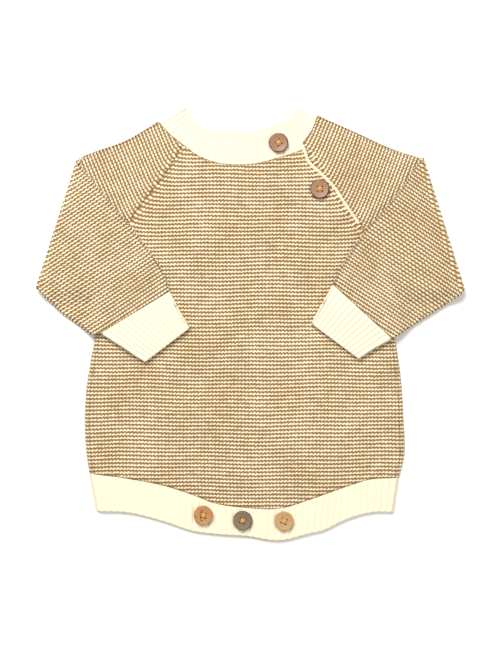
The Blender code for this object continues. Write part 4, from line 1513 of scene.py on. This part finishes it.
@dataclass
class HemBands:
    """The front and back bands of the hem, the legs and the crotch."""

    stations: int = 400
    width: float = 32.0

    def build_front(self, material: bpy.types.Material) -> bpy.types.Object:
        """The front band, which turns down to the surface at both sides."""
        ends = numbers(HEM)[[0, -1]]
        inset = [ends[0, 0] + SIDE_OUTER, ends[1, 0] - SIDE_OUTER]
        hem = at_x(numbers(HEM), np.linspace(*inset, self.stations))
        skins = []
        for radius in (SIDE_OUTER, SIDE_INNER):
            rows, heights = list(hem), [radius] * len(hem)
            for cell in reversed(range(SIDE_CELLS)):
                angle = math.pi / 2.0 * cell / SIDE_CELLS
                reach = SIDE_OUTER - radius * math.cos(angle)
                step = np.array([reach, 0.0, reach, 0.0])
                rows = [ends[0] + step, *rows, ends[1] - step]
                height = radius * math.sin(angle)
                heights = [height, *heights, height]
            rows = np.array(rows)
            plan = across_band(rows[:, :2], rows[:, 2:], band_shares(self.width))
            skins.append(lifted(plan, np.array(heights)[:, None]))
        shell = self.ribbed(skins, RibRelief(depth=1.35))
        piece = knitted("hem_front_knit", shell, material, Slot.RIB, "hem_band_front")
        return piece

    def build_back(self, material: bpy.types.Material) -> bpy.types.Object:
        """The back band, flat on the surface, which shows a little below the front one."""
        ends = numbers(HEM)[[0, -1]]
        inset = [ends[0, 0] + BACK_INSET, ends[1, 0] - BACK_INSET]
        hem = at_x(numbers(HEM), np.linspace(*inset, self.stations))
        hem[:, 3] -= BACK_HEM_DROP * ramp(1.0 - np.abs(hem[:, 0]) / BACK_HEM_HALF_WIDTH)
        plan = across_band(hem[:, :2], hem[:, 2:], band_shares(self.width))
        skins = [lifted(plan, 0.0), lifted(plan, WALL)]
        shell = self.ribbed(skins, RibRelief(crest=0.0))
        piece = knitted("hem_back_knit", shell, material, Slot.RIB, "hem_band_back")
        return piece

    def ribbed(self, skins: list[Array], relief: Relief) -> Shell:
        """A band's wall, with its ribs across it."""
        outer, inner = skins
        along = lengths_along(outer[:, outer.shape[1] // 2])
        stitch = np.repeat((along / HEM_RIB)[:, None], outer.shape[1], axis=1)
        width = lengths_along(outer.transpose(1, 0, 2)).T
        cloth = Cloth(outer, inner, stitch, width / BAND_ROW)
        distance = np.minimum(width, width[:, -1:] - width)
        return lay_ribs(cloth, relief, RibRelief(crest=0.0, phase=0.5), distance)


@dataclass
class Placket:
    """The strip under the front's edge, and the chain of stitches along that edge."""

    cells: int = 120
    chain_start: float = 26.0  # along the edge from the neckband's free end
    chain_length: float = 92.0
    link: float = 3.0
    strand: float = 0.95
    sway: float = 0.85
    steps_per_link: int = 8
    sides: int = 8

    def build_underlap(self, material: bpy.types.Material) -> bpy.types.Object:
        """The strip that the placket button is sewn to."""
        rows = smooth(numbers(PLACKET_UNDERLAP), self.cells)
        plan = across_band(rows[:, :2], rows[:, 2:], band_shares(20.0))
        outer, inner = lifted(plan, FRONT_TOP), lifted(plan, LAYER)
        along = lengths_along(outer[:, outer.shape[1] // 2])
        stitch = np.repeat((along / NECK_RIB)[:, None], outer.shape[1], axis=1)
        width = lengths_along(outer.transpose(1, 0, 2)).T
        cloth = Cloth(outer, inner, stitch, width / BAND_ROW)
        across = np.minimum(width, width[:, -1:] - width)
        ends = np.minimum(along, along[-1] - along)[:, None]
        flat = RibRelief(depth=0.5, crest=0.0, groove=0.0)
        shell = lay_ribs(cloth, flat, flat, np.minimum(across, ends))
        piece = knitted("placket_underlap_knit", shell, material, Slot.RIB, "placket_underlap")
        return piece

    def build_chain(self, material: bpy.types.Material) -> bpy.types.Object:
        """Two strands that cross at each link, along the edge of the front."""
        edge = beside(smooth(PLACKET_EDGE, CURVE_SAMPLES), -1.1)
        marks = lengths_along(edge)
        links = round(self.chain_length / self.link)
        steps = links * self.steps_per_link
        at = np.linspace(self.chain_start, self.chain_start + self.chain_length, steps + 1)
        centre = np.stack([np.interp(at, marks, edge[:, k]) for k in range(2)], axis=1)
        way = np.gradient(centre, axis=0)
        way = way / np.linalg.norm(way, axis=1)[:, None]
        aside = np.stack([-way[:, 1], way[:, 0]], axis=1)
        top = FRONT_TOP + overlap_lift(centre) - 0.35
        turn = math.pi * np.arange(steps + 1) / self.steps_per_link
        points, faces, stitches = [], [], []
        for side in (1.0, -1.0):
            wave = side * np.cos(turn)
            height = top + 0.25 * side * np.sin(turn)
            line = lifted(centre + self.sway * wave[:, None] * aside, height)
            ring = np.arange(self.sides) * 2.0 * math.pi / self.sides
            round_it = np.cos(ring)[None, :, None] * lifted(aside, 0.0)[:, None]
            round_it = round_it + np.sin(ring)[None, :, None] * np.array([0.0, 0.0, 1.0])
            fat = self.strand * (0.85 + 0.15 * np.abs(np.sin(turn)))
            tube = line[:, None] + fat[:, None, None] * round_it
            base = sum(len(block) for block in points)
            ids = base + np.arange(tube.shape[0] * self.sides).reshape(-1, self.sides)
            faces += grid_faces(ids, True)
            faces += [ids[0].tolist(), ids[-1].tolist()]
            points.append(tube.reshape(-1, 3))
            along = np.broadcast_to((at / 1.1)[:, None], tube.shape[:2])
            stitches.append(np.stack([np.zeros_like(along), along], axis=-1).reshape(-1, 2))
        chart = np.concatenate(stitches)
        shell = Shell(np.concatenate(points), faces, chart, np.zeros(len(chart)))
        return knitted("placket_chain", shell, material, Slot.RIB)


@dataclass(frozen=True)
class Button:
    """A turned wooden button with four holes and its thread."""

    node: str
    centre: tuple[float, float]
    turn: float
    layers: int
    slot: Slot
    face: Colour
    dark: Colour
    bark: Colour
    bark_from: float
    specks: float = 0.0
    radius: float = 8.9
    thickness: float = 3.2
    hole: float = 1.05
    hole_circle: float = 2.8
    thread: float = 0.34

    def build(self, thread: bpy.types.Material) -> bpy.types.Object:
        """The button, with its thread beside it."""
        deselect()
        bpy.ops.mesh.primitive_cylinder_add(
            vertices=72, radius=self.radius * MM, depth=self.thickness * MM
        )
        disc = bpy.context.object
        disc.name = f"{self.node}_wood"
        self.select_face(disc, 1.0)
        bpy.ops.mesh.inset(thickness=1.7 * MM)
        bpy.ops.transform.translate(value=(0.0, 0.0, -0.1 * MM))
        bpy.ops.mesh.inset(thickness=1.3 * MM)
        bpy.ops.transform.translate(value=(0.0, 0.0, -0.4 * MM))
        bpy.ops.object.mode_set(mode="OBJECT")
        self.soften(disc)
        self.drill(disc)
        self.weather(disc)
        height = (self.layers * LAYER + self.thickness / 2.0) * MM
        shift = place_shift() * MM
        x, y = self.centre[0] * MM + shift[0], self.centre[1] * MM + shift[1]
        self.settle(disc, (x, y, height))
        shown = (x / MM, y / MM)
        finish = WoodFinish(
            f"{self.node}_finish", shown, self.turn, self.face, self.dark, self.bark,
            self.bark_from, self.specks,
        )
        disc.data.materials.clear()
        disc.data.materials.append(finish.material())
        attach(disc, BODY)
        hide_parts(self.node)
        self.sew(thread, (x, y, height))
        LOG.info("%s: %d faces", disc.name, len(disc.data.polygons))
        return disc

    def select_face(self, disc: bpy.types.Object, up: float) -> None:
        """Goes into edit mode with only the face that looks up, or down, selected."""
        for polygon in disc.data.polygons:
            polygon.select = polygon.normal.z * up > 0.9
        for edge in disc.data.edges:
            edge.select = False
        for vertex in disc.data.vertices:
            vertex.select = False
        bpy.ops.object.mode_set(mode="EDIT")
        bpy.ops.mesh.select_mode(type="FACE")

    def soften(self, disc: bpy.types.Object) -> None:
        """Rounds the button's edges."""
        bevel = disc.modifiers.new("rim", "BEVEL")
        bevel.width = 0.55 * MM
        bevel.segments = 3
        bevel.limit_method = "ANGLE"
        bevel.angle_limit = math.radians(50.0)
        bpy.ops.object.modifier_apply(modifier=bevel.name)

    def drill(self, disc: bpy.types.Object) -> None:
        """Cuts the four holes."""
        for quarter in range(4):
            angle = math.radians(45.0 + 90.0 * quarter)
            circle = self.hole_circle * MM
            place = (circle * math.cos(angle), circle * math.sin(angle), 0.0)
            deselect()
            bpy.ops.mesh.primitive_cylinder_add(
                vertices=20, radius=self.hole * MM, depth=3.0 * self.thickness * MM, location=place
            )
            pin = bpy.context.object
            deselect()
            disc.select_set(True)
            bpy.context.view_layer.objects.active = disc
            cut = disc.modifiers.new("hole", "BOOLEAN")
            cut.operation = "DIFFERENCE"
            cut.object = pin
            bpy.ops.object.modifier_apply(modifier=cut.name)
            bpy.data.objects.remove(pin)

    def weather(self, disc: bpy.types.Object) -> None:
        """Makes the rim a little uneven, as bark is."""
        shape = np.empty(len(disc.data.vertices) * 3)
        disc.data.vertices.foreach_get("co", shape)
        shape = shape.reshape(-1, 3)
        angle = np.arctan2(shape[:, 1], shape[:, 0])
        radius = np.hypot(shape[:, 0], shape[:, 1]) / (self.radius * MM)
        phase = self.centre[0]
        wave = 0.010 * np.sin(3.0 * angle + phase) + 0.008 * np.sin(7.0 * angle - phase)
        wave += 0.006 * np.sin(13.0 * angle + 2.0 * phase) - 0.008
        scale = 1.0 + wave * ramp((radius - 0.75) / 0.25)
        shape[:, :2] *= scale[:, None]
        disc.data.vertices.foreach_set("co", shape.ravel())

    def settle(self, piece: bpy.types.Object, place: tuple[float, float, float]) -> None:
        """Turns a piece and puts it in its place, with its object left at the origin."""
        deselect()
        piece.select_set(True)
        bpy.context.view_layer.objects.active = piece
        piece.rotation_euler = (0.0, 0.0, math.radians(self.turn))
        piece.location = place
        bpy.ops.object.transform_apply(location=True, rotation=True, scale=True)
        bpy.ops.object.shade_smooth_by_angle(angle=math.radians(38.0))

    def sew(
        self, thread: bpy.types.Material, place: tuple[float, float, float]
    ) -> bpy.types.Object:
        """Two runs of thread that cross between the holes."""
        runs = []
        for quarter in (0, 1):
            angle = math.radians(45.0 + 90.0 * quarter)
            for aside in (-0.4, 0.4):
                deselect()
                bpy.ops.curve.primitive_bezier_curve_add(location=(0.0, 0.0, 0.0))
                run = bpy.context.object
                top = (self.thickness / 2.0 - 0.25 + 0.18 * quarter) * MM
                dip = (self.thickness / 2.0 - 2.0) * MM
                reach = self.hole_circle * MM
                spline = run.data.splines[0]
                spline.bezier_points.add(2)
                route = ((-1.0, dip), (-0.75, top), (0.75, top), (1.0, dip))
                for point, (share, height) in zip(spline.bezier_points, route):
                    along = share * reach
                    x = along * math.cos(angle) - aside * MM * math.sin(angle)
                    y = along * math.sin(angle) + aside * MM * math.cos(angle)
                    point.co = (x, y, height)
                    point.handle_left_type = "AUTO"
                    point.handle_right_type = "AUTO"
                run.data.bevel_depth = self.thread * MM
                run.data.bevel_resolution = 2
                run.data.resolution_u = 6
                run.data.use_fill_caps = True
                bpy.ops.object.convert(target="MESH")
                runs.append(bpy.context.object)
        deselect()
        for run in runs:
            run.select_set(True)
        bpy.context.view_layer.objects.active = runs[0]
        bpy.ops.object.join()
        piece = bpy.context.object
        piece.name = f"{self.node}_thread"
        self.settle(piece, place)
        piece.data.materials.clear()
        piece.data.materials.append(thread)
        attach(piece, BODY)
        return piece


BUTTONS = (
    Button(
        "button_neck", (26.2, 166.4), 36.0, 3, Slot.BROWN,
        (0.34, 0.175, 0.085), (0.20, 0.095, 0.045), (0.030, 0.013, 0.008), 7.9,
    ),
    Button(
        "button_placket", (64.1, 124.0), 0.0, 3, Slot.BROWN,
        (0.37, 0.19, 0.095), (0.23, 0.11, 0.052), (0.035, 0.014, 0.008), 7.8,
    ),
    Button(
        "button_crotch_right", (-42.9, -175.9), -8.0, 2, Slot.AMBER,
        (0.52, 0.25, 0.08), (0.33, 0.14, 0.045), (0.14, 0.045, 0.012), 8.7, 0.9,
    ),
    Button(
        "button_crotch_middle", (-6.7, -180.7), -20.0, 2, Slot.GREY,
        (0.24, 0.16, 0.09), (0.13, 0.08, 0.045), (0.022, 0.014, 0.010), 8.1,
    ),
    Button(
        "button_crotch_left", (31.3, -181.2), -20.0, 2, Slot.TAN,
        (0.52, 0.32, 0.14), (0.36, 0.20, 0.085), (0.17, 0.09, 0.035), 8.8,
    ),
)


@dataclass
class Studio:
    """A plain pale floor, soft lights and a camera that looks straight down."""

    lens: float = 85.0
    sensor: float = 36.0
    view_length: float = 600.8  # along Y, at the height of the cloth
    view_centre: tuple[float, float] = (-4.6, -2.3)
    focus_height: float = 6.0

    def build(self) -> None:
        """Makes the floor, the lights, the surroundings and the camera."""
        deselect()
        bpy.ops.mesh.primitive_plane_add(size=6.0, location=(0.0, 0.0, -0.0004))
        floor = bpy.context.object
        floor.name = "floor"
        bench, shader = new_material("pale_floor")
        shader.inputs["Base Color"].default_value = (0.93, 0.93, 0.92, 1.0)
        shader.inputs["Roughness"].default_value = 0.9
        floor.data.materials.append(bpy.data.materials["pale_floor"])
        self.light("key", (-0.55, 1.25, 1.75), 1.1, 62.0, (1.0, 0.985, 0.96))
        self.light("fill", (1.3, -0.5, 1.8), 1.6, 16.0, (1.0, 0.98, 0.95))
        world = bpy.data.worlds.new("surroundings")
        world.use_nodes = True
        world.node_tree.nodes["Background"].inputs[0].default_value = (1.0, 0.99, 0.975, 1.0)
        world.node_tree.nodes["Background"].inputs[1].default_value = 0.42
        bpy.context.scene.world = world
        bpy.context.scene.view_settings.view_transform = "Standard"
        self.camera()

    def light(self, name: str, place: tuple, size: float, power: float, colour: Colour) -> None:
        """A square soft light that looks at the garment."""
        deselect()
        bpy.ops.object.light_add(type="AREA", location=place)
        lamp = bpy.context.object
        lamp.name = name
        lamp.data.size = size
        lamp.data.energy = power
        lamp.data.color = colour
        lamp.rotation_euler = (-lamp.location).to_track_quat("-Z", "Y").to_euler()

    def camera(self) -> None:
        """The camera, straight above the garment."""
        away = self.view_length * self.lens / self.sensor
        centre = np.array([*self.view_centre, 0.0]) + place_shift()
        place = (centre[0] * MM, centre[1] * MM, (away + self.focus_height) * MM)
        bpy.ops.object.camera_add(location=place, rotation=(0.0, 0.0, 0.0))
        camera = bpy.context.object
        camera.name = "camera_above"
        camera.data.lens = self.lens
        camera.data.sensor_width = self.sensor
        bpy.context.scene.camera = camera


def main() -> None:
    """Builds the romper's pieces in order, and its studio."""
    logging.basicConfig(level=logging.INFO, format="%(message)s")
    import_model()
    for make in (garter_group, rib_group, yarn_group, grain_group):
        make()
    body_knit = KnitFinish("body_knit", "garter_stitches", 0.10).material()
    sleeve_knit = KnitFinish("sleeve_knit", "garter_stitches", 0.10).material()
    rib_knit = KnitFinish("rib_knit", "rib_stitches", 1.5, wobble=0.22, relief=0.6).material()
    thread = ThreadFinish().material()

    body = Body()
    body.build_back(body_knit)
    body.build_front(body_knit)
    hems = HemBands()
    hems.build_back(rib_knit)
    hems.build_front(rib_knit)
    sleeves = (
        Sleeve(
            "right", RIGHT_FOLD, RIGHT_OUT, RIGHT_OVER, RIGHT_CUFF,
            RIGHT_SHOULDER_SEAM, RIGHT_RAGLAN_SEAM, RIGHT_SIDE, RIGHT_ROWS,
        ),
        Sleeve(
            "left", LEFT_FOLD, LEFT_OUT, LEFT_OVER, LEFT_CUFF,
            LEFT_SHOULDER_SEAM, LEFT_RAGLAN_SEAM, LEFT_SIDE, LEFT_ROWS,
        ),
    )
    for sleeve in sleeves:
        sleeve.build(sleeve_knit)
        sleeve.build_cuff(rib_knit)
    Neckband().build(rib_knit)
    placket = Placket()
    placket.build_underlap(rib_knit)
    placket.build_chain(rib_knit)
    for button in BUTTONS:
        button.build(thread)
    Studio().build()
    LOG.info("whole romper built")


if __name__ == "__main__":
    main()
